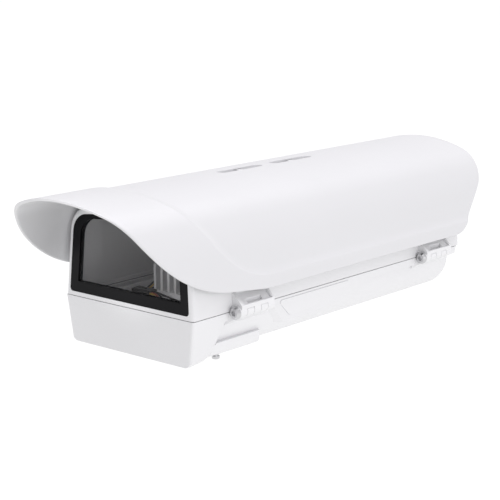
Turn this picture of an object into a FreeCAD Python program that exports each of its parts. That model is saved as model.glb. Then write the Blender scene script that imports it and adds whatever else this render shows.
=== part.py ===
import FreeCAD, Part
import math
import os

import Sketcher

# Outdoor housing for a security camera: a two-part case hinged along one side, a glass
# window in the front of the cover, and an arched sunshield that slides on top of it.
# Millimetres. Case datum: X across (the hinges are at +X), Y from the front of the parting
# line to the rear, Z up from the parting line. Each sub-part is built about this datum and
# placed so that the model's origin is the middle of the bracket holes in the seat plate.

V = FreeCAD.Vector
SIZES = {
    # case
    "case_width": 142.0,
    "case_length": 373.0,
    "case_corner": 1.8,
    "case_rear_corner": 8.0,
    "case_wall": 3.0,
    "parting_gap": 0.6,
    "lower_depth": 38.5,
    "lower_draft": 7.4,
    "lower_plan_radius": 2.5,
    "nose_front_lean": 1.5,
    "nose_edge_radius": 2.0,
    "nose_corner_front": 9.0,
    "nose_corner_rear": 19.0,
    "nose_step_drop": 25.5,
    "nose_length": 37.5,
    "nose_sole_length": 27.3,
    "rim_height": 7.0,
    "belly_inset": 4.5,
    "belly_radius": 29.0,
    "belly_rear_inset": 7.0,
    "belly_rear_radius": 10.0,
    "fin_start": 91.0,
    "fin_drop": 22.5,
    "fin_front_run": 18.0,
    "fin_front_slant": 60.0,
    "fin_front_top_radius": 4.0,
    "fin_front_radius": 5.0,
    "fin_sole_radius": 60.0,
    "fin_sole_length": 43.5,
    "fin_end": 239.0,
    # cover
    "upper_height": 77.7,
    "upper_draft": 4.3,
    "upper_corner_radius": 21.0,
    "upper_crown_radius": 380.0,
    "upper_edge_radius": 3.5,
    "front_lean": 1.7,
    "front_wall": 7.2,
    "front_return_wall": 5.0,
    "front_return_length": 35.0,
    # window
    "window_sill": 3.6,
    "window_margin": 4.6,
    "window_head_margin": 5.5,
    "window_corner_radius": 16.5,
    "window_sill_radius": 3.0,
    "clear_sill_radius": 0.6,
    "gasket_side": 8.6,
    "gasket_sill": 9.1,
    "gasket_head": 4.0,
    "gasket_depth": 5.0,
    "gasket_recess": 0.4,
    "glass_thickness": 3.0,
    "glass_recess": 1.4,
    "glass_bite": 3.0,
    # sunshield
    "shield_rise": 19.2,
    "shield_height": "=upper_height + shield_rise",
    "shield_side_gap": 4.54,
    "shield_crown_angle": 20.0,
    "shield_shoulder_radius": 35.0,
    "shield_shoulder_angle": 60.0,
    "shield_flank_radius": 86.0,
    "shield_flank_angle": 79.2,
    "shield_edge_height": 14.0,
    "shield_wall": 2.5,
    "joggle_depth": 2.0,
    "skirt_height": 10.0,
    "joggle_corner": 50.0,
    "joggle_slope": 52.0,
    "joggle_radius": 100.0,
    "visor_reach": 74.0,
    "visor_slope": 54.0,
    "visor_radius": 124.0,
    "visor_fall": 6.2,
    "visor_fall_end": 78.0,
    "visor_fall_radius": 150.0,
    "tail_overhang": 38.5,
    "tail_slope": 46.4,
    "tail_drop": 34.5,
    "tail_upper_radius": 29.0,
    "tail_lower_radius": 30.0,
    "channel_first": 136.0,
    "channel_spacing": 68.0,
    "channel_length": 54.0,
    "channel_width": 9.0,
    "channel_depth": 3.2,
    "channel_floor": 2.4,
    "shield_travel": 18.0,
    "shield_screw_radius": 1.95,
    "shield_screw_head_radius": 3.5,
    "shield_screw_head_height": 2.5,
    "shield_boss_radius": 8.0,
    "shield_boss_height": 4.3,
    "shield_boss_inner_radius": 6.0,
    "shield_boss_inner_depth": 12.0,
    "shield_screw_bite": 8.0,
    "spacer_radius": 7.0,
    "running_gap": 0.3,
    # hinges
    "hinge_offset": 5.4,
    "hinge_radius": 4.6,
    "hinge_first": 64.6,
    "hinge_rear_margin": 49.8,
    "hinge_length": 41.6,
    "hinge_gap": 0.4,
    "hinge_fit": 0.05,
    "hinge_screw_radius": 2.95,
    "hinge_head_radius": 5.2,
    "hinge_head_height": 3.3,
    "hinge_key_radius": 2.31,
    "hinge_key_depth": 2.0,
    "block_height": 16.2,
    "block_front_setback": 1.8,
    "block_rear_setback": 0.0,
    "block_face": 4.2,
    "block_slope": 44.7,
    "block_corner": 0.8,
    "block_pocket_front": 3.6,
    "block_pocket_rear": 2.2,
    "block_pocket_top": 1.6,
    "block_pocket_low": 0.6,
    "block_pocket_depth": 2.0,
    "block_slot_start": 10.4,
    "block_slot_length": 18.4,
    "block_slot_out": 4.6,
    "block_slot_width": 3.1,
    "block_slot_floor": 4.5,
    "carrier_depth": 11.0,
    "carrier_front": 4.3,
    "carrier_rake": 6.3,
    # closing screws on the side away from the hinges
    "lug_length": 20.0,
    "lug_reach": 11.0,
    "lug_height": 9.0,
    "lug_drop": 11.0,
    "lug_corner": 5.0,
    "closing_screw_offset": 5.5,
    "closing_screw_radius": 2.4,
    "closing_screw_clearance": 0.5,
    "closing_screw_bite": 5.0,
    "closing_head_radius": 4.2,
    "closing_head_height": 5.0,
    # seal between the case halves
    "seal_width": 3.0,
    "seal_height": 2.5,
    "seal_edge": 2.0,
    "seal_corner": 8.5,
    # underside
    "bracket_rear_margin": 101.0,
    "bracket_centre": "=case_length - bracket_rear_margin",
    "seat_plate_width": 72.0,
    "seat_plate_length": 46.0,
    "seat_plate_thickness": 2.5,
    "seat_plate_corner": 5.0,
    "bracket_spacing_across": 60.0,
    "bracket_spacing_along": 26.0,
    "bracket_hole_radius": 2.6,
    "bracket_hole_depth": 9.5,
    "bracket_boss_radius": 6.0,
    "plate_screw_spacing": 30.0,
    "plate_screw_radius": 1.95,
    "plate_screw_head_radius": 3.9,
    "plate_screw_length": 8.0,
    "plate_boss_radius": 5.0,
    "post_radius": 4.5,
    "foot_front": 27.6,
    "foot_rear": 89.0,
    "foot_height": 14.7,
    "foot_corner": 16.0,
    "foot_end_radius": 9.0,
    "foot_gap": 0.4,
    "foot_radius": 5.0,
    "foot_screw_inset": 16.2,
    "foot_screw_across": "=case_width / 2 - foot_screw_inset",
    "foot_screw_along": 43.3,
    "foot_screw_radius": 1.95,
    "foot_screw_head_radius": 3.2,
    "foot_screw_length": 12.0,
    # cable glands
    "gland_pitch": 34.0,
    "gland_drop": 18.0,
    "gland_thread_radius": 7.9,
    "gland_bore_radius": 5.2,
    "gland_hex_radius": 10.3,
    "gland_hex_height": 5.0,
    "gland_thread_length": 10.0,
    "gland_stem_length": 9.0,
    "gland_stem_radius": 7.2,
    "gland_cap_radius": 9.4,
    "gland_cap_length": 15.0,
    "gland_nut_radius": 11.4,
    "gland_nut_height": 4.5,
    "gland_seal_radius": 4.0,
    "gland_seal_length": 4.0,
    # inside
        "tray_thickness": 1.5,
    "tray_drop": 5.0,
    "tray_start": 23.0,
    "tray_end_gap": 28.0,
    "tray_side_gap": 15.0,
    "tray_width": "=case_width - 2 * tray_side_gap",
    "tray_length": "=case_length - tray_start - tray_end_gap",
    "tray_lip": 4.0,
    "tray_slot_width": 6.8,
    "tray_slot_margin": 66.0,
    "tray_slot_length": "=tray_length - 2 * tray_slot_margin",
    "tray_screw_parking": 26.0,
    "tray_seat_width": 46.0,
    "tray_seat_length": "=tray_slot_length - tray_screw_parking",
    "tray_seat_rise": 1.0,
    "tray_screw_inset": 10.0,
    "tray_screw_across": "=tray_width / 2 - tray_screw_inset",
    "tray_screw_margin": 14.0,
    "tray_screw_radius": 1.95,
    "tray_screw_head_radius": 3.8,
    "tray_screw_head_height": 2.4,
    "tray_screw_length": 12.0,
    "camera_screw_radius": 3.1,
    "camera_screw_reach": 6.0,
    "camera_knob_radius": 9.0,
    "camera_knob_height": 7.0,
    "camera_screw_along": "=case_length - tray_end_gap - tray_slot_margin - 12",
    "connector_length": 20.0,
    "connector_width": 9.5,
    "connector_height": 5.0,
    "connector_across": -35.5,
    "connector_along": 55.0,
    "connector_well_pitch": 3.6,
    "connector_well_radius": 1.3,
    "connector_well_depth": 2.0,
    "pin_radius": 0.9,
    "pin_sink": 0.5,
    "lead_entry_depth": 2.0,
    "lead_entry_radius": 1.0,
    "heater_length": 56.0,
    "heater_width": 16.0,
    "heater_height": 26.0,
    "heater_across": -1.0,
    "heater_along": 68.0,
    "heater_fin_pitch": 7.0,
    "heater_fin_width": 2.6,
    "heater_base": 4.0,
    "thermostat_length": 12.0,
    "thermostat_width": 14.0,
    "thermostat_height": 7.0,
    "thermostat_across": 34.0,
    "thermostat_along": 51.0,
    "thermostat_cap_radius": 4.5,
    "thermostat_cap_height": 3.0,
    "strip_length": 44.0,
    "strip_width": 12.0,
    "strip_height": 10.0,
    "strip_way_radius": 2.2,
    "strip_across": -24.0,
    "strip_along": "=case_length - tray_end_gap - 34",
    "strip_pitch": 10.0,
    "lead_radius": 0.8,
    "lead_pitch": 2.6,
    # badge place
    "badge_thickness": 1.1,
    "badge_proud": 0.5,
    "badge_start": 11.0,
    "badge_length": 97.0,
}

doc = FreeCAD.newDocument("camera_housing")
sheet = doc.addObject("Spreadsheet::Sheet", "sizes")


def fill_sheet():
    """Puts the sizes in the sheet; a text value is a formula of the sizes before it."""
    for row, (alias, value) in enumerate(SIZES.items(), start=1):
        sheet.set("A%d" % row, alias)
        sheet.set("B%d" % row, value if isinstance(value, str) else repr(value))
        sheet.setAlias("B%d" % row, alias)
    doc.recompute()


fill_sheet()


def size(alias):
    """Value of a size, in millimetres or degrees."""
    return float(sheet.get(alias))


def tan(angle):
    return math.tan(math.radians(angle))


def sin(angle):
    return math.sin(math.radians(angle))


def cos(angle):
    return math.cos(math.radians(angle))


HALF_WIDTH = size("case_width") / 2
LOWER_TOP = -size("parting_gap") / 2
UPPER_LOW = size("parting_gap") / 2
SEAT_HEIGHT = size("lower_depth") + size("seat_plate_thickness")
DATUM = V(0, -size("bracket_centre"), SEAT_HEIGHT)
HINGE_X = HALF_WIDTH + size("hinge_offset")
HINGE_CENTRES = [size("hinge_first"), size("case_length") - size("hinge_rear_margin")]
LUG_X = -HALF_WIDTH - size("closing_screw_offset")
REAR_WALL = size("case_length") - size("belly_rear_inset")
TRAY_TOP = -size("tray_drop")
STRIP_ENTRY_DEPTH = 3.0
STRIP_ENTRY_RISE = 0.3
PARTS = []


# Placing and naming

def seated(obj, label, x=0.0, y=0.0, z=0.0, rotation=None):
    """Names a finished sub-part and puts it in the model, at x, y, z from the case datum."""
    obj.Label = label
    obj.Placement = FreeCAD.Placement(DATUM + V(x, y, z), rotation or FreeCAD.Rotation())
    PARTS.append(obj)
    return obj


def shape_part(label, shape):
    """A sub-part whose outline no primitive or plain sketch gives."""
    obj = doc.addObject("Part::Feature", label)
    obj.Shape = shape.removeSplitter()
    return seated(obj, label)


def solid_group(label, solids):
    """Several like pieces as one sub-part of separate solids."""
    obj = doc.addObject("Part::Feature", label)
    obj.Shape = Part.makeCompound(solids)
    return seated(obj, label)


# Outlines

def rounded_wire(corners):
    """Closed wire through corner points, each (point, radius), with tangent arcs at them."""
    count = len(corners)
    ends = []
    for i, (point, radius) in enumerate(corners):
        before = (corners[i - 1][0] - point).normalize()
        after = (corners[(i + 1) % count][0] - point).normalize()
        if radius <= 0:
            ends.append((point, None, point))
            continue
        half_turn = before.getAngle(after) / 2
        reach = radius / math.tan(half_turn)
        bisector = (before + after).normalize()
        middle = point + bisector * (radius / math.sin(half_turn) - radius)
        ends.append((point + before * reach, middle, point + after * reach))
    edges = []
    for i, (start, middle, end) in enumerate(ends):
        if middle is not None:
            edges.append(Part.Arc(start, middle, end).toShape())
        following = ends[(i + 1) % count][0]
        if end.distanceToPoint(following) > 1e-6:
            edges.append(Part.LineSegment(end, following).toShape())
    return Part.Wire(edges)


def side_wire(corners, x):
    """Closed wire of a side view in the plane at x: corners are (y, z, radius)."""
    return rounded_wire([(V(x, y, z), radius) for y, z, radius in corners])


def side_prism(corners, half_width):
    """Solid across the model from a side view."""
    return Part.Face(side_wire(corners, -half_width)).extrude(V(2 * half_width, 0, 0))


def inset(wire, distance):
    return wire.makeOffset2D(-distance)


def along(wire, start, end):
    """Solid between two places along Y from a wire that lies in the XZ plane."""
    face = Part.Face(wire)
    face.translate(V(0, start, 0))
    return face.extrude(V(0, end - start, 0))


def box(low, high):
    return Part.makeBox(high[0] - low[0], high[1] - low[1], high[2] - low[2], V(*low))


def rod(radius, start, end):
    """Round bar between two points."""
    axis = V(*end) - V(*start)
    return Part.makeCylinder(radius, axis.Length, V(*start), axis)


def polar(centre, radius, angle):
    """Point of an arch at an angle from straight up, towards +X."""
    return V(centre.x + radius * sin(angle), 0, centre.z + radius * cos(angle))


def arch_wire(arcs, low):
    """Symmetric arch in the XZ plane, closed by a level line at height low.

    arcs go from the crown to the side, each (centre, radius, start angle, end angle)."""
    right = []
    for centre, radius, start, end in arcs[1:]:
        middle = (start + end) / 2
        right.append([polar(centre, radius, a) for a in (start, middle, end)])
    centre, radius, _, crown_end = arcs[0]
    edges = [Part.Arc(*[polar(centre, radius, a) for a in (-crown_end, 0, crown_end)]).toShape()]
    foot = right[-1][-1]
    last_angle = arcs[-1][3]
    foot_low = V(foot.x + (foot.z - low) / tan(last_angle), 0, low)
    for sign in (1, -1):
        for points in right:
            edges.append(Part.Arc(*[V(sign * p.x, 0, p.z) for p in points]).toShape())
        side_end = V(sign * foot_low.x, 0, low)
        edges.append(Part.LineSegment(V(sign * foot.x, 0, foot.z), side_end).toShape())
    edges.append(Part.LineSegment(V(-foot_low.x, 0, low), V(foot_low.x, 0, low)).toShape())
    return Part.Wire(Part.__sortEdges__(edges))


def drafted_arch(half_width, base, low, draft, top, corner, crown):
    """Arch with leaning sides, round corners and a gently curved top.

    half_width is measured at height base; the arch is closed at height low."""
    crown_centre = V(0, 0, top - crown)
    start = V(half_width - corner * cos(draft), 0, base - corner * sin(draft)) - crown_centre
    lean = V(-sin(draft), 0, cos(draft))
    reach = crown - corner
    middle = start.dot(lean)
    travel = -middle + math.sqrt(middle * middle - start.dot(start) + reach * reach)
    centre = crown_centre + start + lean * travel
    crown_end = math.degrees(math.atan2(centre.x, centre.z - crown_centre.z))
    arcs = [(crown_centre, crown, 0, crown_end), (centre, corner, crown_end, 90 - draft)]
    return arch_wire(arcs, low)


def upper_section():
    return drafted_arch(HALF_WIDTH, 0.0, UPPER_LOW, size("upper_draft"), size("upper_height"),
                        size("upper_corner_radius"), size("upper_crown_radius"))


def with_sill_corners(solid, sill, radius):
    """Rounds the two lower corners of an upright arch-shaped plate."""
    depth = 0.9 * solid.BoundBox.YLength
    edges = [e for e in solid.Edges
             if e.BoundBox.YLength > depth and abs(e.BoundBox.ZMin - sill) < 0.01]
    return solid.makeFillet(radius, edges)


def window_plate(side, sill, head, front, back, low_corner="window_sill_radius"):
    """Plate in the shape of the window opening, drawn in by side, sill and head margins."""
    base = size("window_sill")
    half_width = HALF_WIDTH - size("window_margin") - side
    top = size("upper_height") - size("window_head_margin") - head
    corner = size("window_corner_radius")
    wire = drafted_arch(half_width, base, base + sill, size("upper_draft"), top, corner,
                        size("upper_crown_radius"))
    plate = with_sill_corners(along(wire, front, back), base + sill, size(low_corner))
    plate.rotate(V(0, 0, 0), V(1, 0, 0), -size("front_lean"))
    return plate


# Lower case

def envelope():
    """Tapered box that the nose, the rim and the side fins of the lower case share."""
    depth = size("lower_depth")
    taper = depth * tan(size("lower_draft"))
    lean = size("nose_front_lean")

    def level(z, side, front, radius):
        end = size("case_length") - front
        round_end = size("case_rear_corner")
        corners = [(-side, front, radius), (side, front, radius), (side, end, round_end),
                   (-side, end, round_end)]
        return rounded_wire([(V(x, y, z), r) for x, y, r in corners])

    top = level(0, HALF_WIDTH, 0, size("case_corner"))
    bottom = level(-depth, HALF_WIDTH - taper, lean, size("lower_plan_radius"))
    return Part.makeLoft([top, bottom], True, True)


def belly_wire(shrink):
    """Round-bottomed section of the lower case behind the nose."""
    side = HALF_WIDTH - size("belly_inset") - shrink
    low = -size("lower_depth") + shrink
    radius = size("belly_radius") - shrink
    corners = [(-side, 1.0, 0), (-side, low, radius), (side, low, radius), (side, 1.0, 0)]
    return rounded_wire([(V(x, 0, z), r) for x, z, r in corners])


def below_parting(solid):
    """Cuts away what stands above the lower case's top face."""
    reach = size("case_length")
    return solid.cut(box((-reach, -reach, LOWER_TOP), (reach, 2 * reach, size("upper_height"))))


def belly():
    solid = along(belly_wire(0), size("nose_sole_length") / 2, REAR_WALL)
    rear_edges = [e for e in solid.Edges if e.BoundBox.YMin > REAR_WALL - 0.01
                  and (e.BoundBox.ZMax < 0.9 or e.BoundBox.ZLength > 5)]
    return below_parting(solid.makeFillet(size("belly_rear_radius"), rear_edges))


def nose_section(y, share):
    """Section of the nose at y; its lower corners grow rounder towards the rear."""
    depth = size("lower_depth")
    low_side = HALF_WIDTH - depth * tan(size("lower_draft"))
    growth = size("nose_corner_rear") - size("nose_corner_front")
    radius = size("nose_corner_front") + growth * share ** 4
    corners = [(-HALF_WIDTH, 0, 0), (-low_side, -depth, radius), (low_side, -depth, radius),
               (HALF_WIDTH, 0, 0)]
    return rounded_wire([(V(x, y, z), r) for x, z, r in corners])


def nose():
    """Squared front of the lower case, with a raked rear edge and a rounder corner behind."""
    rear = size("nose_length")
    sole = size("nose_sole_length")
    depth = size("lower_depth")
    shares = (0.0, 0.5, 0.75, 0.9, 1.0)
    sections = [nose_section(share * sole, share) for share in shares]
    tunnel = Part.makeLoft(sections + [nose_section(rear, 1.0)], True, False)
    front_edges = [e for e in tunnel.Edges
                   if e.BoundBox.YMax < 0.01 and e.BoundBox.ZMin < -depth + 0.01]
    tunnel = tunnel.makeFillet(size("nose_edge_radius"), front_edges)
    outline = [(-5, 1, 0), (rear, 1, 0), (rear, -size("rim_height"), 0),
               (sole, -size("nose_step_drop"), 0), (sole, -depth - 1, 0), (-5, -depth - 1, 0)]
    return tunnel.common(envelope()).common(side_prism(outline, HALF_WIDTH + 1))


def fin_corners(x):
    """Side view of the fin that hangs from the rim between the hinges, cut at x."""
    wall = HALF_WIDTH - size("belly_inset")
    start = size("fin_start") + (x - wall) * tan(size("fin_front_slant"))
    drop = -size("fin_drop")
    rim = -size("rim_height")
    sole_start = start + size("fin_front_run")
    sole_end = size("fin_start") + size("fin_front_run") + size("fin_sole_length")
    rear = size("fin_end")
    curve = size("fin_sole_radius")
    return [(start, 1, 0), (start, rim, size("fin_front_top_radius")),
            (sole_start, drop, size("fin_front_radius")), (sole_end, drop, curve),
            (rear, rim, curve), (rear + curve, rim, 0), (rear + curve, 1, 0)]


def fins():
    """Both side fins; their front faces slant back towards the outside."""
    inner = HALF_WIDTH - 2 * size("belly_inset")
    outer = HALF_WIDTH + 1
    return [Part.makeLoft([side_wire(fin_corners(inner), sign * inner),
                           side_wire(fin_corners(outer), sign * outer)], True, True) for sign in (-1, 1)]


def lower_outside():
    block = envelope()
    rim = box((-HALF_WIDTH - 1, 0, -size("rim_height")), (HALF_WIDTH + 1, size("case_length"), 0))
    raised = rim.fuse(fins())
    return belly().fuse([below_parting(block.common(raised)), below_parting(nose())])


def carrier():
    """Ledge under each hinge barrel that carries the lower knuckles; its front is raked."""
    inner = HALF_WIDTH - 8
    outer = HINGE_X - 0.5
    wall = HALF_WIDTH - size("belly_inset")
    depth = size("carrier_depth")
    section = [(inner, LOWER_TOP), (outer, LOWER_TOP), (outer, -size("hinge_radius")), (wall, -depth),
               (inner, -depth)]
    front = -size("hinge_length") / 2 - size("carrier_front")
    rear = size("hinge_length") / 2 + 1
    wire = Part.makePolygon([V(x, 0, z) for x, z in section + section[:1]])
    ledge = along(wire, front, rear)
    rake = size("carrier_rake")
    slope = Part.makePolygon([V(outer + 1, front - 1, 1), V(wall, front - 1, 1),
                              V(outer + 1, front + rake, 1), V(outer + 1, front - 1, 1)])
    return ledge.cut(Part.Face(slope).extrude(V(0, 0, -2 * depth - 2)))


def knuckle_spans(upper):
    """Start and end along Y, from the hinge's middle, of every other knuckle."""
    pitch = size("hinge_length") / 5
    first = 0 if upper else 1
    starts = [-size("hinge_length") / 2 + i * pitch for i in range(first, 5, 2)]
    trim = size("hinge_gap") / 2
    return [(s + trim, s + pitch - trim) for s in starts]


def barrel_space(spans, margin, widen):
    """Round clearance about the hinge axis over the given spans."""
    radius = size("hinge_radius") + margin
    rods = [rod(radius, (HINGE_X, a - widen, 0), (HINGE_X, b + widen, 0)) for a, b in spans]
    return rods[0].fuse(rods[1:])


def lower_hinge():
    """Carrier and knuckles of one hinge, about the hinge's middle."""
    swept = barrel_space(knuckle_spans(True), size("hinge_gap"), size("hinge_gap"))
    solid = carrier().cut(swept)
    for start, end in knuckle_spans(False):
        solid = solid.fuse(rod(size("hinge_radius"), (HINGE_X, start, 0), (HINGE_X, end, 0)))
    bore = size("hinge_screw_radius") + size("hinge_fit")
    half = size("hinge_length") / 2
    head = rod(size("hinge_head_radius") + size("hinge_gap"), (HINGE_X, -half - 10, 0), (HINGE_X, -half, 0))
    return solid.cut([rod(bore, (HINGE_X, -half - 10, 0), (HINGE_X, half + 10, 0)), head])


def lug_box(low, high, reach):
    half = size("lug_length") / 2
    return box((-HALF_WIDTH - reach, -half, low), (-HALF_WIDTH + 6, half, high))


def with_lug_corners(solid):
    """Rounds the two upright outer corners of a lug."""
    outside = -HALF_WIDTH - size("lug_corner")
    edges = [e for e in solid.Edges if e.BoundBox.XMax < outside and e.BoundBox.ZLength > 5]
    return solid.makeFillet(size("lug_corner"), edges)


def lower_lug():
    """Ear on the far side that holds a closing screw."""
    solid = lug_box(-size("lug_drop"), LOWER_TOP, size("lug_reach"))
    solid = with_lug_corners(solid)
    hole = size("closing_screw_radius") + size("closing_screw_clearance")
    return solid.cut(rod(hole, (LUG_X, 0, -30), (LUG_X, 0, 5)))


def floor_boss(x, y, radius, top):
    """Post that rises from the floor of the lower case."""
    return rod(radius, (x, y, -size("lower_depth") + 1), (x, y, top))


def bracket_points():
    across = size("bracket_spacing_across") / 2
    lengthwise = size("bracket_spacing_along") / 2
    return [(sx * across, size("bracket_centre") + sy * lengthwise) for sx in (-1, 1) for sy in (-1, 1)]


def plate_screw_points():
    return [(sign * size("plate_screw_spacing") / 2, size("bracket_centre")) for sign in (-1, 1)]


def tray_screw_points():
    first = size("tray_start") + size("tray_screw_margin")
    last = size("tray_start") + size("tray_length") - size("tray_screw_margin")
    return [(sign * size("tray_screw_across"), y) for y in (first, last) for sign in (-1, 1)]


def foot_screw_points():
    return [(sign * size("foot_screw_across"), size("foot_screw_along")) for sign in (-1, 1)]


def bosses():
    """Posts on the floor of the lower case that take the screws."""
    sole = -size("lower_depth")
    kinds = [
        (bracket_points(), size("bracket_boss_radius"), sole + size("bracket_hole_depth")),
        (plate_screw_points(), size("plate_boss_radius"), sole + size("plate_screw_length") + 1),
        (tray_screw_points(), size("post_radius"), TRAY_TOP - size("tray_thickness")),
        (foot_screw_points(), size("post_radius"), sole + size("foot_screw_length") + 2),
    ]
    return [floor_boss(x, y, radius, top) for points, radius, top in kinds for x, y in points]


def lower_holes():
    sole = -size("lower_depth")
    bracket_top = sole - size("seat_plate_thickness") + size("bracket_hole_depth")
    tray_low = TRAY_TOP - size("tray_screw_length") - 2
    kinds = [
        (bracket_points(), size("bracket_hole_radius"), sole - 1, bracket_top),
        (plate_screw_points(), size("plate_screw_radius"), sole - 1, sole + size("plate_screw_length") - 1),
        (tray_screw_points(), size("tray_screw_radius"), tray_low, 0),
        (foot_screw_points(), size("foot_screw_radius"), sole - 1, sole + size("foot_screw_length")),
    ]
    solids = [rod(radius, (x, y, low), (x, y, top)) for points, radius, low, top in kinds
              for x, y in points]
    for x in gland_places():
        solids.append(rod(size("gland_thread_radius") + 0.1, (x, REAR_WALL - 12, -size("gland_drop")),
                          (x, REAR_WALL + 5, -size("gland_drop"))))
    return solids


def gland_places():
    return [i * size("gland_pitch") for i in (-1, 0, 1)]


def seal_ring(extra_width, bottom, top):
    """Ring that runs round the rim of the lower case."""
    edge = size("seal_edge") - extra_width / 2
    width = size("seal_width") + extra_width
    length = size("case_length")

    def block(margin):
        side = HALF_WIDTH - margin
        corners = [(-side, margin), (side, margin), (side, length - margin), (-side, length - margin)]
        radius = max(size("seal_corner") - margin, 1)
        wire = rounded_wire([(V(x, y, bottom), radius) for x, y in corners])
        return Part.Face(wire).extrude(V(0, 0, top - bottom))

    return block(edge).cut(block(edge + width))


def badge_wire(margin):
    """Pointed plate on the fin, seen from the hinge side: corners are (y, z, radius)."""
    front = size("fin_start") + size("badge_start")
    tip = front + size("badge_length")
    low = -size("fin_drop") + 4
    corners = [(front - margin, -2.6 + margin, 2), (tip + margin, -2.6 + margin, 1.4),
               (tip - 2 + margin, -5.6 - margin, 1.4), (front + 45, low + 1.2 - margin, 30),
               (front + 17, low - margin, 8)]
    return side_wire(corners, 0)


def badge_solid(margin, inside, outside):
    solid = Part.Face(badge_wire(margin)).extrude(V(inside + outside, 0, 0))
    solid.translate(V(-inside, 0, 0))
    solid.rotate(V(0, 0, 0), V(0, 1, 0), size("lower_draft"))
    solid.translate(V(HALF_WIDTH, 0, 0))
    return solid


def lower_case():
    solid = lower_outside()
    cavity = along(belly_wire(size("case_wall")), size("front_wall"), REAR_WALL - size("case_wall"))
    for post in bosses():
        cavity = cavity.cut(post)
    solid = solid.cut(cavity)
    for y in HINGE_CENTRES:
        hinge = lower_hinge()
        hinge.translate(V(0, y, 0))
        lug = lower_lug()
        lug.translate(V(0, y, 0))
        solid = solid.fuse([hinge.cut(cavity), lug.cut(cavity)])
    solid = solid.cut(lower_holes())
    solid = solid.cut(seal_ring(0.2, -size("seal_height") + size("running_gap"), 1))
    inside = size("badge_thickness") - size("badge_proud")
    solid = solid.cut(badge_solid(0.1, inside, 5))
    return shape_part("lower_case", solid)


def seam_seal():
    bottom = -size("seal_height") + size("running_gap")
    return shape_part("seam_seal", seal_ring(0, bottom, UPPER_LOW - size("running_gap")))


def badge_plate():
    thickness = size("badge_thickness")
    return shape_part("badge_plate", badge_solid(0, thickness - size("badge_proud"), size("badge_proud")))


# Underside

def foot_wire():
    """Section of the case squared off by the feet: the same sides, tighter lower corners."""
    side = HALF_WIDTH - size("belly_inset")
    low = -size("lower_depth")
    radius = size("foot_corner")
    corners = [(-side, 0, 0), (-side, low, radius), (side, low, radius), (side, 0, 0)]
    return rounded_wire([(V(x, 0, z), r) for x, z, r in corners])


def foot_plan(sign, top):
    """Plan outline of one foot, its outer rear corner rounded."""
    side = HALF_WIDTH - size("belly_inset")
    front = size("foot_front") + size("foot_gap")
    rear = size("foot_rear")
    corners = [(0, front, 0), (side, front, 0), (side, rear, size("foot_end_radius")), (0, rear, 0)]
    if sign < 0:
        corners.reverse()
    return rounded_wire([(V(sign * x, y, top), r) for x, y, r in corners])


def corner_feet():
    """Two blocks that square off the round belly behind the nose."""
    sole = -size("lower_depth")
    top = sole + size("foot_height")
    radius = size("foot_radius")
    front = size("foot_front") + size("foot_gap")
    rear = size("foot_rear")
    side_view = [(front, sole, 0), (front, top, radius), (rear, top, radius), (rear, sole, 0)]
    squared = along(foot_wire(), front, rear)
    both = squared.common(side_prism(side_view, HALF_WIDTH)).cut(belly())
    for x, y in foot_screw_points():
        both = both.cut(rod(size("foot_screw_radius") + 0.1, (x, y, sole - 1), (x, y, top)))
    feet = []
    for sign, name in ((1, "corner_foot_right"), (-1, "corner_foot_left")):
        plan = Part.Face(foot_plan(sign, top)).extrude(V(0, 0, -2 * size("foot_height")))
        feet.append(shape_part(name, both.common(plan)))
    return feet


def pan_screw(head_radius, head_height, shank_radius, length):
    """Screw that points up: its head is below z = 0 and has a cross-shaped recess."""
    head = rod(head_radius, (0, 0, -head_height), (0, 0, 0))
    rim = [e for e in head.Edges if e.BoundBox.ZMax < -head_height + 0.01]
    head = head.makeFillet(head_height * 0.35, rim)
    arm = head_radius * 0.55
    blade = head_radius * 0.13
    depth = -head_height + head_height * 0.45
    cross = box((-arm, -blade, -head_height - 1), (arm, blade, depth))
    cross = cross.fuse(box((-blade, -arm, -head_height - 1), (blade, arm, depth)))
    return head.cut(cross).fuse(rod(shank_radius, (0, 0, -0.1), (0, 0, length)))


def screw_group(label, points, height, screw, flipped=False):
    """Like screws at several places, as one sub-part of separate solids."""
    solids = []
    for x, y in points:
        copy = screw.copy()
        if flipped:
            copy.rotate(V(0, 0, 0), V(1, 0, 0), 180)
        copy.translate(V(x, y, height))
        solids.append(copy)
    return solid_group(label, solids)


def foot_screws():
    screw = pan_screw(size("foot_screw_head_radius"), size("seat_plate_thickness"),
                      size("foot_screw_radius"), size("foot_screw_length") - 0.5)
    return screw_group("foot_screws", foot_screw_points(), -size("lower_depth"), screw)


def sunk_screw():
    """Countersunk screw that points up, with its flat head's face at z = 0."""
    head = size("plate_screw_head_radius")
    shank = size("plate_screw_radius")
    cone = Part.makeCone(head, shank, head - shank)
    body = cone.fuse(rod(shank, (0, 0, 0.1), (0, 0, size("plate_screw_length"))))
    return body.cut(box((-head * 0.7, -0.4, -1), (head * 0.7, 0.4, 0.9)))


def seat_plate_screws():
    return screw_group("seat_plate_screws", plate_screw_points(), -SEAT_HEIGHT, sunk_screw())


def new_body(label):
    return doc.addObject("PartDesign::Body", label)


def origin_feature(body, role):
    """One of a body's own origin planes or axes."""
    return [f for f in body.Origin.OriginFeatures if f.Role == role][0]


def sketch_on(body, name):
    """Sketch on a body's own ground plane."""
    sketch = body.newObject("Sketcher::SketchObject", name)
    sketch.AttachmentSupport = [(origin_feature(body, "XY_Plane"), "")]
    sketch.MapMode = "FlatFace"
    return sketch


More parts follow.
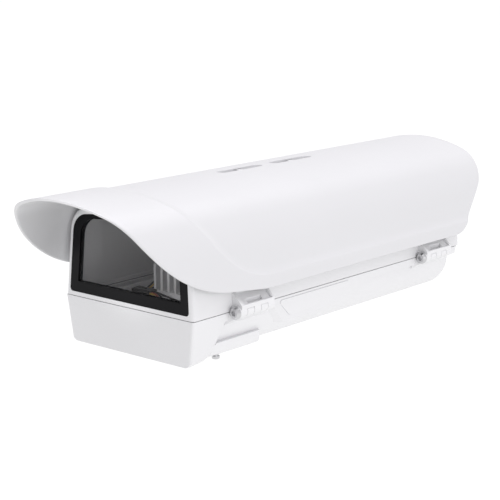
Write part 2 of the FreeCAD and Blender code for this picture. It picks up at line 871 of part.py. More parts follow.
def add_rectangle(sketch, width, height, x="0", y="0"):
    """Rectangle about the point x, y, its sides and place bound to sheet expressions."""
    start = len(sketch.Geometry)
    corners = [V(-2, -1, 0), V(2, -1, 0), V(2, 1, 0), V(-2, 1, 0)]
    for i in range(4):
        sketch.addGeometry(Part.LineSegment(corners[i], corners[(i + 1) % 4]), False)
    for i in range(4):
        following = start + (i + 1) % 4
        sketch.addConstraint(Sketcher.Constraint("Coincident", start + i, 2, following, 1))
    for i, kind in enumerate(("Horizontal", "Vertical", "Horizontal", "Vertical")):
        sketch.addConstraint(Sketcher.Constraint(kind, start + i))
    bound = [("DistanceX", start, 1, start, 2, width),
             ("DistanceY", start + 1, 1, start + 1, 2, height)]
    for kind, g1, p1, g2, p2, expression in bound:
        index = sketch.addConstraint(Sketcher.Constraint(kind, g1, p1, g2, p2, 2.0))
        sketch.setExpression("Constraints[%d]" % index, expression)
    corner = (("DistanceX", "%s - (%s) / 2" % (x, width)),
              ("DistanceY", "%s - (%s) / 2" % (y, height)))
    for kind, expression in corner:
        index = sketch.addConstraint(Sketcher.Constraint(kind, -1, 1, start, 1, 1.0))
        sketch.setExpression("Constraints[%d]" % index, expression)


def add_circle(sketch, radius, x="0", y="0"):
    """Circle about the point x, y, its radius and place bound to sheet expressions."""
    index = sketch.addGeometry(Part.Circle(V(1, 1, 0), V(0, 0, 1), 1), False)
    item = sketch.addConstraint(Sketcher.Constraint("Radius", index, 1.0))
    sketch.setExpression("Constraints[%d]" % item, radius)
    for kind, expression in (("DistanceX", x), ("DistanceY", y)):
        item = sketch.addConstraint(Sketcher.Constraint(kind, -1, 1, index, 3, 1.0))
        sketch.setExpression("Constraints[%d]" % item, expression)


def pad(body, name, sketch, length):
    feature = body.newObject("PartDesign::Pad", name)
    feature.Profile = sketch
    feature.setExpression("Length", length)
    doc.recompute()
    return feature


def pocket(body, name, sketch, reverse=True):
    """Cut through everything, with the volume compared so that an idle cut can't pass."""
    before = body.Shape.Volume
    feature = body.newObject("PartDesign::Pocket", name)
    feature.Profile = sketch
    feature.Type = "ThroughAll"
    feature.Reversed = reverse
    doc.recompute()
    if body.Shape.Volume >= before - 1e-6:
        raise RuntimeError(name + " removes nothing")
    return feature


def seat_plate():
    """Plate under the case with the holes for the wall bracket."""
    body = new_body("seat_plate")
    outline = sketch_on(body, "seat_plate_outline")
    add_rectangle(outline, "sizes.seat_plate_width", "sizes.seat_plate_length")
    pad(body, "seat_plate_pad", outline, "sizes.seat_plate_thickness")
    holes = sketch_on(body, "seat_plate_holes")
    for sx in ("-", ""):
        for sy in ("-", ""):
            add_circle(holes, "sizes.bracket_hole_radius", sx + "sizes.bracket_spacing_across / 2",
                       sy + "sizes.bracket_spacing_along / 2")
    pocket(body, "seat_plate_bracket_holes", holes)
    upright = size("seat_plate_thickness") + 0.1
    side = size("seat_plate_width") / 2 - 0.1
    edges = [i + 1 for i, e in enumerate(body.Shape.Edges) if e.BoundBox.ZLength > 1
             and e.BoundBox.DiagonalLength < upright and abs(e.BoundBox.XMax) > side]
    drilled = body.Tip
    corner = body.newObject("PartDesign::Fillet", "seat_plate_corners")
    corner.Base = (drilled, ["Edge%d" % i for i in edges])
    corner.setExpression("Radius", "sizes.seat_plate_corner")
    doc.recompute()
    groove = body.newObject("PartDesign::SubtractiveCone", "seat_plate_countersink")
    groove.setExpression("Radius1", "sizes.plate_screw_head_radius + 0.1")
    groove.setExpression("Radius2", "sizes.plate_screw_radius + 0.1")
    groove.setExpression("Height", "sizes.plate_screw_head_radius - sizes.plate_screw_radius")
    groove.setExpression("AttachmentOffset.Base.x", "-sizes.plate_screw_spacing / 2")
    groove.AttachmentSupport = [(origin_feature(body, "XY_Plane"), "")]
    groove.MapMode = "FlatFace"
    doc.recompute()
    mirror = body.newObject("PartDesign::Mirrored", "seat_plate_countersinks")
    mirror.Originals = [groove]
    mirror.MirrorPlane = (origin_feature(body, "YZ_Plane"), [""])
    body.Tip = mirror
    doc.recompute()
    through = sketch_on(body, "seat_plate_screw_holes")
    for sx in ("-", ""):
        add_circle(through, "sizes.plate_screw_radius + 0.1", sx + "sizes.plate_screw_spacing / 2")
    pocket(body, "seat_plate_clearance", through)
    return seated(body, "seat_plate", y=size("bracket_centre"), z=-SEAT_HEIGHT)


# Cover

def block_ends():
    """Front and rear of the block, from the hinge's middle."""
    half = size("hinge_length") / 2
    return size("block_front_setback") - half, half - size("block_rear_setback")


def block_wall():
    """Where the cover's wall stands at the top of the block."""
    return HALF_WIDTH - size("block_height") * tan(size("upper_draft"))


def block_solid():
    """Block over the hinge: its outer face slopes down, then drops to the barrel."""
    wall = block_wall()
    face = HINGE_X + size("block_face")
    height = size("block_height")
    corner = height - (face - wall) * tan(size("block_slope"))
    front, rear = block_ends()
    points = [(wall - 2, UPPER_LOW), (wall - 2, height), (wall, height), (face, corner), (face, UPPER_LOW)]
    wire = Part.makePolygon([V(x, 0, z) for x, z in points + points[:1]])
    solid = along(wire, front, rear)
    edges = [e for e in solid.Edges if abs(e.BoundBox.ZMin - corner) < 0.01 and e.BoundBox.ZLength < 0.01]
    return solid.makeFillet(size("block_corner"), edges)


def block_pocket():
    """Recess square to the block's sloping face, with an upright slot sunk in its floor."""
    wall = block_wall()
    height = size("block_height")
    slope = size("block_slope")
    reach = (HINGE_X + size("block_face") - wall) / cos(slope)
    front, rear = block_ends()
    recess_start = front + size("block_pocket_front")
    recess_end = rear - size("block_pocket_rear")
    recess = box((size("block_pocket_top"), recess_start, -size("block_pocket_depth")),
                 (reach - size("block_pocket_low"), recess_end, 5))
    recess.rotate(V(0, 0, 0), V(0, 1, 0), slope)
    recess.translate(V(wall, 0, height))
    start = front + size("block_slot_start")
    inner = wall + size("block_slot_out")
    slot = box((inner, start, size("block_slot_floor")),
               (inner + size("block_slot_width"), start + size("block_slot_length"), height))
    return recess.fuse(slot)


def upper_hinge():
    """Block, pocket and knuckles of one hinge, about the hinge's middle."""
    half = size("hinge_length") / 2
    solid = block_solid().cut(block_pocket())
    solid = solid.cut(barrel_space(knuckle_spans(False), size("hinge_gap"), size("hinge_gap")))
    for start, end in knuckle_spans(True):
        solid = solid.fuse(rod(size("hinge_radius"), (HINGE_X, start, 0), (HINGE_X, end, 0)))
    bore = size("hinge_screw_radius") + size("hinge_fit")
    return solid.cut(rod(bore, (HINGE_X, -half - 10, 0), (HINGE_X, half + 10, 0)))


def upper_lug():
    """Ear on the far side that a closing screw enters from below."""
    solid = lug_box(UPPER_LOW, UPPER_LOW + size("lug_height"), size("lug_reach"))
    solid = with_lug_corners(solid)
    hole = size("closing_screw_radius") + size("closing_screw_clearance")
    return solid.cut(rod(hole, (LUG_X, 0, -5), (LUG_X, 0, size("closing_screw_bite") + 1.5)))


def channel_places():
    return [size("channel_first"), size("channel_first") + size("channel_spacing")]


def upper_shell():
    """Outside of the cover: a drafted arch with a front that leans back."""
    length = size("case_length")
    solid = along(upper_section(), -5, length)
    lean = tan(size("front_lean"))
    top = size("upper_height") + 5
    front = [(-20, -5, 0), (-5 * lean, -5, 0), (top * lean, top, 0), (-20, top, 0)]
    solid = solid.cut(side_prism(front, 100))
    rounded = [e for e in solid.Edges if e.BoundBox.ZMax > UPPER_LOW + 1
               and (e.BoundBox.YMax < top * lean or e.BoundBox.YMin > length - 0.01)]
    return solid.makeFillet(size("upper_edge_radius"), rounded)


def upper_case():
    length = size("case_length")
    wall = size("case_wall")
    crown = size("upper_height")
    section = upper_section()
    solid = upper_shell()
    for y in channel_places():
        boss_top = crown + size("shield_boss_height")
        solid = solid.fuse(rod(size("shield_boss_radius"), (0, y, crown - 5), (0, y, boss_top)))
    return_wall = size("front_return_wall")
    front = size("front_wall")
    return_end = size("front_return_length")
    cavity = along(inset(section, wall), return_end, length - wall)
    mouth = box((return_wall - HALF_WIDTH, front, UPPER_LOW - 1),
                (HALF_WIDTH - return_wall, length - wall, UPPER_LOW + return_wall + 1))
    cavity = cavity.fuse([along(inset(section, return_wall), front, return_end + 5), mouth])
    for y in channel_places():
        low = crown - size("shield_boss_inner_depth")
        cavity = cavity.cut(rod(size("shield_boss_inner_radius"), (0, y, low), (0, y, crown + 5)))
    solid = solid.cut(cavity)
    for y in HINGE_CENTRES:
        block = upper_hinge()
        block.translate(V(0, y, 0))
        lug = upper_lug()
        lug.translate(V(0, y, 0))
        solid = solid.fuse([block.cut(cavity), lug.cut(cavity)])
    opening = window_plate(0, 0, 0, -5, size("gasket_depth") + size("gasket_recess"))
    flange = window_plate(5, 5, 2.5, -5, front + 10)
    solid = solid.cut([opening, flange])
    bore = size("shield_screw_radius") + 0.05
    for y in channel_places():
        low = crown - size("shield_screw_bite") - 1
        solid = solid.cut(rod(bore, (0, y, low), (0, y, crown + 9)))
    return shape_part("upper_case", solid)


def glass_solid():
    margins = [size(name) - size("glass_bite") for name in ("gasket_side", "gasket_sill", "gasket_head")]
    front = size("glass_recess")
    return window_plate(*margins, front, front + size("glass_thickness"))


def window_gasket():
    front = size("gasket_recess")
    back = front + size("gasket_depth")
    ring = window_plate(0.1, 0.1, 0.1, front, back - 0.1)
    clear = window_plate(size("gasket_side"), size("gasket_sill"), size("gasket_head"),
                         front - 2, back + 2, "clear_sill_radius")
    return shape_part("window_gasket", ring.cut([clear, glass_solid()]))


def window_glass():
    return shape_part("window_glass", glass_solid())


# Sunshield

def shield_wire():
    """Arch of the sunshield's outer band: crown, shoulder and flank arcs, then a straight side.

    The crown's radius follows from the width, so that the sides clear the cover."""
    crown_end = size("shield_crown_angle")
    shoulder_end = size("shield_shoulder_angle")
    flank_end = size("shield_flank_angle")
    shoulder_radius = size("shield_shoulder_radius")
    flank_radius = size("shield_flank_radius")
    flank_step = shoulder_radius - flank_radius
    side = HALF_WIDTH + size("shield_side_gap")
    left_over = side - flank_step * sin(shoulder_end) - flank_radius * sin(flank_end)
    shoulder_step = left_over / sin(crown_end)
    crown_radius = shoulder_radius + shoulder_step
    crown = V(0, 0, size("shield_height") - crown_radius)
    shoulder = polar(crown, shoulder_step, crown_end)
    flank = polar(shoulder, flank_step, shoulder_end)
    arcs = [(crown, crown_radius, 0, crown_end),
            (shoulder, shoulder_radius, crown_end, shoulder_end),
            (flank, flank_radius, shoulder_end, flank_end)]
    return arch_wire(arcs, -5.0)


def shield_profile():
    """Side view of the sunshield: sloping visor, level lower edge, raked tail."""
    top = size("shield_height") + 15
    edge = size("shield_edge_height")
    slope = tan(size("visor_slope"))
    fall = tan(size("visor_fall"))
    tip = (-size("visor_reach"), size("shield_height"))
    fall_end = size("visor_fall_end")
    knee_y = (tip[1] - edge + tip[0] * slope - fall_end * fall) / (slope - fall)
    knee_z = edge + (fall_end - knee_y) * fall
    tail = size("case_length") + size("tail_overhang")
    tail_knee = size("shield_height") - size("tail_drop")
    tail_foot = tail - (tail_knee - edge) / tan(size("tail_slope"))
    return [(tip[0] - (top - tip[1]) / slope, top, 0), (knee_y, knee_z, size("visor_radius")),
            (fall_end, edge, size("visor_fall_radius")), (tail_foot, edge, size("tail_lower_radius")),
            (tail, tail_knee, size("tail_upper_radius")), (tail, top, 0)]


def panel_profile(margin):
    """Side view of the sunken main panel, bounded by the skirt and the visor."""
    top = size("shield_height") + 15
    low = size("shield_edge_height") + size("skirt_height") + margin
    slope = tan(size("joggle_slope"))
    corner = size("joggle_corner") + margin
    end = size("case_length") + size("tail_overhang") + 30
    return [(corner - (top - low) / slope, top, 0), (corner, low, size("joggle_radius")),
            (end, low, 0), (end, top, 0)]


def joggled(depth, margin):
    """Arch whose main panel is sunk by the joggle's depth."""
    start = -size("visor_reach") - 30
    end = size("case_length") + size("tail_overhang") + 20
    band = along(inset(shield_wire(), depth) if depth else shield_wire(), start, end)
    core = along(inset(shield_wire(), depth + size("joggle_depth")), start - 5, end + 5)
    return band.cut(band.cut(core).common(side_prism(panel_profile(margin), size("case_width"))))


def obround(length, width, bottom, top, y):
    """Upright slot with round ends that runs along Y."""
    reach = (length - width) / 2
    radius = width / 2
    solid = box((-radius, y - reach, bottom), (radius, y + reach, top))
    ends = [rod(radius, (0, y + s * reach, bottom), (0, y + s * reach, top)) for s in (-1, 1)]
    return solid.fuse(ends)


def channel_floor_top():
    return size("shield_height") - size("joggle_depth") - size("channel_depth")


def sunshield():
    wall = size("shield_wall")
    shell = joggled(0, 0).cut(joggled(wall, wall))
    underside = channel_floor_top() - size("channel_floor")
    crown_inside = size("shield_height") - size("joggle_depth") - wall
    for y in channel_places():
        length = size("channel_length") + 6
        width = size("channel_width") + 6
        shell = shell.fuse(obround(length, width, underside, crown_inside + 0.5, y))
    solid = shell.common(side_prism(shield_profile(), size("case_width")))
    for y in channel_places():
        top = size("shield_height") + 5
        channel = obround(size("channel_length"), size("channel_width"), channel_floor_top(), top, y)
        solid = solid.cut(channel)
        slot_width = 2 * size("shield_screw_radius") + 0.7
        slot_length = 2 * size("shield_travel") + slot_width + 0.6
        solid = solid.cut(obround(slot_length, slot_width, underside - 5, top, y))
    return shape_part("sunshield", solid)


def shield_spacers():
    """Bushes that hold the sunshield off the cover."""
    underside = channel_floor_top() - size("channel_floor") - size("running_gap")
    bottom = size("upper_height") + size("shield_boss_height")
    made = []
    for name, y in zip(("shield_spacer_front", "shield_spacer_rear"), channel_places()):
        outer = doc.addObject("Part::Cylinder", name + "_body")
        outer.setExpression("Radius", "sizes.spacer_radius")
        outer.Height = underside - bottom
        inner = doc.addObject("Part::Cylinder", name + "_bore")
        inner.setExpression("Radius", "sizes.shield_screw_radius + 0.15")
        inner.Height = underside - bottom
        bush = doc.addObject("Part::Cut", name)
        bush.Base = outer
        bush.Tool = inner
        made.append(seated(bush, name, y=y, z=bottom))
    return made


def shield_screws():
    head = size("shield_screw_head_height")
    seat = channel_floor_top() + size("running_gap")
    length = seat - size("upper_height") + size("shield_screw_bite")
    made = []
    for name, y in zip(("shield_screw_front", "shield_screw_rear"), channel_places()):
        screw = pan_screw(size("shield_screw_head_radius"), head, size("shield_screw_radius"), length)
        screw.rotate(V(0, 0, 0), V(1, 0, 0), 180)
        screw.translate(V(0, y, seat))
        made.append(shape_part(name, screw))
    return made


# Hinge screws and closing screws

def hinge_screws():
    """Cap screws that are the hinge pins: head, key socket and shank in a Part::Cut."""
    made = []
    half = size("hinge_length") / 2
    turn = FreeCAD.Rotation(V(1, 0, 0), -90)
    for name, y in zip(("hinge_screw_front", "hinge_screw_rear"), HINGE_CENTRES):
        head = doc.addObject("Part::Cylinder", name + "_head")
        head.setExpression("Radius", "sizes.hinge_head_radius")
        head.setExpression("Height", "sizes.hinge_head_height * 0.5")
        head.setExpression("Placement.Base.z", "-sizes.hinge_head_height * 0.5")
        dome = doc.addObject("Part::Cone", name + "_dome")
        dome.setExpression("Radius1", "sizes.hinge_head_radius * 0.7")
        dome.setExpression("Radius2", "sizes.hinge_head_radius")
        dome.setExpression("Height", "sizes.hinge_head_height * 0.5")
        dome.setExpression("Placement.Base.z", "-sizes.hinge_head_height")
        button = doc.addObject("Part::Fuse", name + "_button")
        button.Base = head
        button.Tool = dome
        shank = doc.addObject("Part::Cylinder", name + "_shank")
        shank.setExpression("Radius", "sizes.hinge_screw_radius")
        shank.setExpression("Height", "sizes.hinge_length + sizes.running_gap")
        stock = doc.addObject("Part::Fuse", name + "_stock")
        stock.Base = button
        stock.Tool = shank
        key = doc.addObject("Part::Prism", name + "_key")
        key.Polygon = 6
        key.setExpression("Circumradius", "sizes.hinge_key_radius")
        key.setExpression("Height", "sizes.hinge_key_depth + 1")
        key.setExpression("Placement.Base.z", "-sizes.hinge_head_height - 1")
        screw = doc.addObject("Part::Cut", name)
        screw.Base = stock
        screw.Tool = key
        made.append(seated(screw, name, x=HINGE_X, y=y - half - size("running_gap"), rotation=turn))
    return made


def closing_screws():
    """Screws that pull the cover down on its seal, entered from below."""
    made = []
    for name, y in zip(("closing_screw_front", "closing_screw_rear"), HINGE_CENTRES):
        head = rod(size("closing_head_radius"), (0, 0, -size("closing_head_height")), (0, 0, 0))
        key = Part.Face(Part.makePolygon([V(2.3 * cos(a), 2.3 * sin(a), 0) for a in range(0, 361, 60)]))
        key = key.extrude(V(0, 0, -3))
        key.translate(V(0, 0, -size("closing_head_height") + 2.9))
        length = size("lug_drop") + size("closing_screw_bite")
        screw = head.cut(key).fuse(rod(size("closing_screw_radius"), (0, 0, -0.1), (0, 0, length)))
        screw.translate(V(LUG_X, y, -size("lug_drop")))
        made.append(shape_part(name, screw))
    return made


# Cable glands

def turned_part(label, x, y, pieces, bore, bore_length):
    """Gland piece on an axis along +Y: primitives fused, then bored.

    pieces are (kind, radius, start, length), each a size expression of the sheet."""
    solids = []
    for i, (kind, radius, start, length) in enumerate(pieces):
        if kind == "hex":
            solid = doc.addObject("Part::Prism", "%s_piece_%d" % (label, i))
            solid.Polygon = 6
            solid.setExpression("Circumradius", radius)
        else:
            solid = doc.addObject("Part::Cylinder", "%s_piece_%d" % (label, i))
            solid.setExpression("Radius", radius)
        solid.setExpression("Height", length)
        solid.setExpression("Placement.Base.z", start)
        solids.append(solid)
    stock = solids[0]
    for i, solid in enumerate(solids[1:]):
        fused = doc.addObject("Part::Fuse", "%s_stock_%d" % (label, i))
        fused.Base = stock
        fused.Tool = solid
        stock = fused
    hole = doc.addObject("Part::Cylinder", label + "_bore")
    hole.setExpression("Radius", bore)
    hole.setExpression("Height", bore_length)
    hole.Placement.Base = V(0, 0, -50)
    part = doc.addObject("Part::Cut", label)
    part.Base = stock
    part.Tool = hole
    turn = FreeCAD.Rotation(V(1, 0, 0), -90)
    return seated(part, label, x=x, y=y, z=-size("gland_drop"), rotation=turn)


def glands():
    """Three cable glands in the rear wall, each a body, seal, cap and lock nut."""
    wall = size("case_wall")
    for number, x in enumerate(gland_places(), start=1):
        body = [("hex", "sizes.gland_hex_radius", "0", "sizes.gland_hex_height"),
                ("rod", "sizes.gland_thread_radius", "-sizes.gland_thread_length",
                 "sizes.gland_thread_length + 1"),
                ("rod", "sizes.gland_stem_radius", "0",
                 "sizes.gland_hex_height + sizes.gland_stem_length")]
        turned_part("gland_body_%d" % number, x, REAR_WALL, body, "sizes.gland_bore_radius", "100")
        nut = [("hex", "sizes.gland_nut_radius", "0", "sizes.gland_nut_height")]
        turned_part("gland_nut_%d" % number, x, REAR_WALL - wall - size("gland_nut_height"), nut,
                    "sizes.gland_thread_radius + 0.05", "100")
        gland_cap("gland_cap_%d" % number, x)
        seal_start = size("gland_hex_height") + size("gland_stem_length")
        seal = [("rod", "sizes.gland_stem_radius", "0", "sizes.gland_seal_length")]
        turned_part("gland_seal_%d" % number, x, REAR_WALL + seal_start, seal,
                    "sizes.gland_seal_radius", "100")


def gland_cap(label, x):
    """Domed nut with grip flats, turned about the gland's axis."""
    radius = size("gland_cap_radius")
    length = size("gland_cap_length")
    inner = size("gland_stem_radius") + 0.1
    lip = size("gland_hex_height") + size("gland_stem_length") + size("gland_seal_length") + 0.1
    start = size("gland_hex_height") + 0.2
    end = start + length
    bore = size("gland_bore_radius")
    outline = [(inner, start), (radius, start), (radius, end - 5), (radius - 1.5, end - 2),
               (radius - 4, end), (bore, end), (bore, lip), (inner, lip)]
    wire = Part.makePolygon([V(r, y, 0) for r, y in outline + outline[:1]])
    solid = Part.Face(wire).revolve(V(0, 0, 0), V(0, 1, 0), 360)
    flats = [V(radius * 1.02 * sin(a), 0, radius * 1.02 * cos(a)) for a in range(0, 361, 30)]
    grip = Part.Face(Part.makePolygon(flats))
    solid = solid.common(grip.extrude(V(0, 100, 0)))
    solid.translate(V(x, REAR_WALL, -size("gland_drop")))
    return shape_part(label, solid)


# Inside

def camera_tray():
    """Sheet tray with turned-up edges and a long slot for the camera's screw."""
    body = new_body("camera_tray")
    outline = sketch_on(body, "tray_outline")
    add_rectangle(outline, "sizes.tray_width", "sizes.tray_length")
    pad(body, "tray_pad", outline, "sizes.tray_thickness")
    lips = sketch_on(body, "tray_lips")
    for sign in ("", "-"):
        edge = sign + "(sizes.tray_width - sizes.tray_thickness) / 2"
        add_rectangle(lips, "sizes.tray_thickness", "sizes.tray_length", edge)
    pad(body, "tray_lip_pad", lips, "sizes.tray_thickness + sizes.tray_lip")
    seat = sketch_on(body, "tray_seat")
    seat_middle = "1 - sizes.tray_screw_parking / 2"
    add_rectangle(seat, "sizes.tray_seat_width", "sizes.tray_seat_length", "0", seat_middle)
    pad(body, "tray_seat_pad", seat, "sizes.tray_thickness + sizes.tray_seat_rise")
    slot = sketch_on(body, "tray_slot")
    add_rectangle(slot, "sizes.tray_slot_width", "sizes.tray_slot_length")
    pocket(body, "tray_slot_cut", slot)
    holes = sketch_on(body, "tray_holes")
    for sx in ("-", ""):
        for sy in ("-", ""):
            add_circle(holes, "sizes.tray_screw_radius + 0.1", sx + "sizes.tray_screw_across",
                       sy + "(sizes.tray_length / 2 - sizes.tray_screw_margin)")
    pocket(body, "tray_hole_cuts", holes)
    middle = size("tray_start") + size("tray_length") / 2
    return seated(body, "camera_tray", y=middle, z=TRAY_TOP - size("tray_thickness"))


def tray_screws():
    screw = pan_screw(size("tray_screw_head_radius"), size("tray_screw_head_height"),
                      size("tray_screw_radius") - 0.05, size("tray_screw_length"))
    return screw_group("tray_screws", tray_screw_points(), TRAY_TOP, screw, flipped=True)


def camera_screw():
    """Knurled thumb screw that comes up through the tray's slot."""
    radius = size("camera_knob_radius")
    under = TRAY_TOP - size("tray_thickness")
    knob = rod(radius, (0, 0, -size("camera_knob_height")), (0, 0, 0))
    for step in range(24):
        angle = step * 15
        x = (radius + 0.3) * cos(angle)
        y = (radius + 0.3) * sin(angle)
        knob = knob.cut(rod(0.7, (x, y, -20), (x, y, 5)))
    top = size("tray_thickness") + size("camera_screw_reach")
    screw = knob.fuse(rod(size("camera_screw_radius"), (0, 0, -1), (0, 0, top)))
    screw.translate(V(0, size("camera_screw_along"), under))
    return shape_part("camera_screw", screw)


def connector_wells():
    return [(i - 2.4) * size("connector_well_pitch") for i in range(4)]


def supply_entries():
    """Places across the connector's rear face where the supply leads come out."""
    return [(i - 1.9) * size("lead_pitch") for i in range(4)]


def heater_entries():
    """Places along the connector's end, where the leads to the thermostat come out."""
    return [(i - 1.5) * 0.8 * size("lead_pitch") for i in range(4)]


def connector_block():
    """Plug connector on the tray: four pin wells on top, leads out of its rear and one end."""
    half_length = size("connector_length") / 2
    half_width = size("connector_width") / 2
    height = size("connector_height")
    entry = size("lead_entry_radius")
    depth = size("lead_entry_depth")
    solid = box((-half_length, -half_width, 0), (half_length, half_width, height))
    solid = solid.makeFillet(0.8, [e for e in solid.Edges if e.BoundBox.ZMin > height - 0.01])
    middle = height / 2
    for x in connector_wells():
        floor = height - size("connector_well_depth")
        solid = solid.cut(rod(size("connector_well_radius"), (x, 0, floor), (x, 0, height + 1)))
    for x in supply_entries():
        solid = solid.cut(rod(entry, (x, half_width - depth, middle), (x, half_width + 1, middle)))
    for y in heater_entries():
        solid = solid.cut(rod(entry, (half_length - depth, y, middle), (half_length + 1, y, middle)))
    solid.translate(V(size("connector_across"), size("connector_along"), TRAY_TOP))
    return shape_part("connector_block", solid)


def connector_pins():
    top = TRAY_TOP + size("connector_height") - size("pin_sink")
    foot = TRAY_TOP + size("connector_height") - size("connector_well_depth")
    y = size("connector_along")
    places = [size("connector_across") + x for x in connector_wells()]
    pins = [rod(size("pin_radius"), (x, y, foot), (x, y, top)) for x in places]
    return solid_group("connector_pins", pins)


def heater_block():
    """Finned heater: a base, and upright fins patterned along it."""
    body = new_body("heater_block")
    base = sketch_on(body, "heater_outline")
    add_rectangle(base, "sizes.heater_length", "sizes.heater_width")
    pad(body, "heater_base_pad", base, "sizes.heater_base")
    fin = sketch_on(body, "heater_fin_outline")
    edge = "(sizes.heater_fin_width - sizes.heater_length) / 2"
    add_rectangle(fin, "sizes.heater_fin_width", "sizes.heater_width", edge)
    first = pad(body, "heater_fin", fin, "sizes.heater_height")
    pattern = body.newObject("PartDesign::LinearPattern", "heater_fins")
    pattern.Originals = [first]
    pattern.Direction = (origin_feature(body, "X_Axis"), [""])
    count = int((size("heater_length") - size("heater_fin_width")) // size("heater_fin_pitch")) + 1
    pattern.Occurrences = count
    pattern.setExpression("Length", "sizes.heater_length - sizes.heater_fin_width")
    body.Tip = pattern
    doc.recompute()
    return seated(body, "heater_block", x=size("heater_across"), y=size("heater_along"), z=TRAY_TOP)


def strip_ways():
    return [(i - 1.5) * size("strip_pitch") for i in range(4)]


def terminal_strip():
    """Four-way screw terminal near the glands, where the supply cable ends."""
    length = size("strip_length")
    width = size("strip_width")
    height = size("strip_height")
    solid = box((-length / 2, -width / 2, 0), (length / 2, width / 2, height * 0.6))
    solid = solid.fuse(box((-length / 2, -width / 4, 0), (length / 2, width / 4, height)))
    z = height * STRIP_ENTRY_RISE
    end = STRIP_ENTRY_DEPTH - width / 2
    for x in strip_ways():
        solid = solid.cut(rod(size("strip_way_radius"), (x, 0, height * 0.5), (x, 0, height + 1)))
        solid = solid.cut(rod(size("lead_entry_radius"), (x, -width, z), (x, end, z)))
    solid.translate(V(size("strip_across"), size("strip_along"), TRAY_TOP))
    return shape_part("terminal_strip", solid)


def strip_screws():
    height = size("strip_height")
    solids = []
    for x in strip_ways():
        head = rod(size("strip_way_radius") - 0.1, (0, 0, 0), (0, 0, 2.4))
        screw = head.cut(box((-3, -0.35, 1.6), (3, 0.35, 5)))
        place = V(size("strip_across") + x, size("strip_along"), TRAY_TOP + height * 0.5)
        screw.translate(place)
        solids.append(screw)
    return solid_group("strip_screws", solids)


def thermostat():
    """Heater thermostat: a block with lead entries at one end and a round sensor cap."""
    half_length = size("thermostat_length") / 2
    half_width = size("thermostat_width") / 2
    height = size("thermostat_height")
    entry_z = size("connector_height") / 2
    solid = box((-half_length, -half_width, 0), (half_length, half_width, height))
    solid = solid.makeFillet(1.2, [e for e in solid.Edges if e.BoundBox.ZLength > height - 0.01])
    solid = solid.fuse(rod(size("thermostat_cap_radius"), (0, 0, height - 1),
                           (0, 0, height + size("thermostat_cap_height"))))
    for y in thermostat_entries():
        solid = solid.cut(rod(size("lead_entry_radius"), (-half_length - 1, y, entry_z),
                              (-half_length + size("lead_entry_depth"), y, entry_z)))
    solid.translate(V(size("thermostat_across"), size("thermostat_along"), TRAY_TOP))
    return shape_part("thermostat", solid)


def thermostat_entries():
    return [(i - 1.5) * size("lead_pitch") for i in range(4)]


def route_wire(points):
    """Straight runs joined by tangent arcs, each as large as its two runs allow."""
    edges = []
    radii = []
    start = points[0]
    for before, corner, after in zip(points, points[1:], points[2:]):
        back = (before - corner)
        ahead = (after - corner)
        turn = math.pi - back.getAngle(ahead)
        reach = 0.45 * min(back.Length, ahead.Length)
        radius = reach / math.tan(turn / 2)
        radii.append(radius)
        back.normalize()
        ahead.normalize()
        bisector = (back + ahead).normalize()
        middle = corner + bisector * (radius / math.cos(turn / 2) - radius)
        first = corner + back * reach
        last = corner + ahead * reach
        edges.append(Part.LineSegment(start, first).toShape())
        edges.append(Part.Arc(first, middle, last).toShape())
        start = last
    edges.append(Part.LineSegment(start, points[-1]).toShape())
    return Part.Wire(edges), radii


def lead(label, points):
    """One insulated wire; its tube's volume is compared with its section times its length."""
    path, radii = route_wire([V(*p) for p in points])
    start = V(*points[0])
    direction = V(*points[1]) - start
    ring = Part.Wire(Part.makeCircle(size("lead_radius"), start, direction))
    tube = path.makePipeShell([ring], True, False)
    expected = math.pi * size("lead_radius") ** 2 * path.Length
    if abs(tube.Volume - expected) > 0.03 * expected:
        raise RuntimeError(label + " isn't a clean tube")
    print("%s: length %.0f, bend radii %s" % (label, path.Length, [round(r) for r in radii]))
    return shape_part(label, tube)


def supply_leads():
    """Leads from the connector's rear face, over the tray, to the rear terminals."""
    y = size("connector_along") + size("connector_width") / 2
    z = TRAY_TOP + size("connector_height") / 2
    ends = [size("strip_across") + x for x in strip_ways()]
    end_y = size("strip_along") - size("strip_width") / 2 + STRIP_ENTRY_DEPTH - 0.2
    end_z = TRAY_TOP + size("strip_height") * STRIP_ENTRY_RISE
    names = ["lead_supply_black_1", "lead_supply_yellow", "lead_supply_black_2", "lead_supply_red"]
    routes = [
        [(-40, 73, 3.2), (-41.5, 87, 6.6), (-46, 109, 2.8), (-48.5, 141, -3.4), (-47, 181, -4),
         (-48, 220, -3.5), (-46, 255, -4), (-42, 282, -3.1)],
        [(-37.2, 73, 3.8), (-38, 87, 6.9), (-42, 110, 2.6), (-44.5, 142, -3.6), (-43, 181, -4),
         (-43.8, 221, -3.6), (-40, 255, -4), (-32.5, 281, -3.2)],
        [(-34.8, 73, 2.6), (-35.5, 87, 5.2), (-38.5, 109, 1.6), (-40.5, 141, -3.8), (-39, 180, -4),
         (-39.8, 220, -3.7), (-33, 254, -4), (-23.5, 281, -3)],
        [(-31.8, 73, 0.6), (-30.5, 87, 3.6), (-33.5, 110, 1), (-35.5, 142, -3.9), (-34.5, 181, -4),
         (-35, 219, -3.6), (-26, 253, -4), (-14, 280, -3.2)],
    ]
    for name, x, x_end, route in zip(names, supply_entries(), ends, routes):
        x += size("connector_across")
        start = [(x, y - size("lead_entry_depth") + 0.2, z), (x, y + 5, z)]
        lead(name, start + route + [(x_end, end_y - 9, end_z), (x_end, end_y, end_z)])


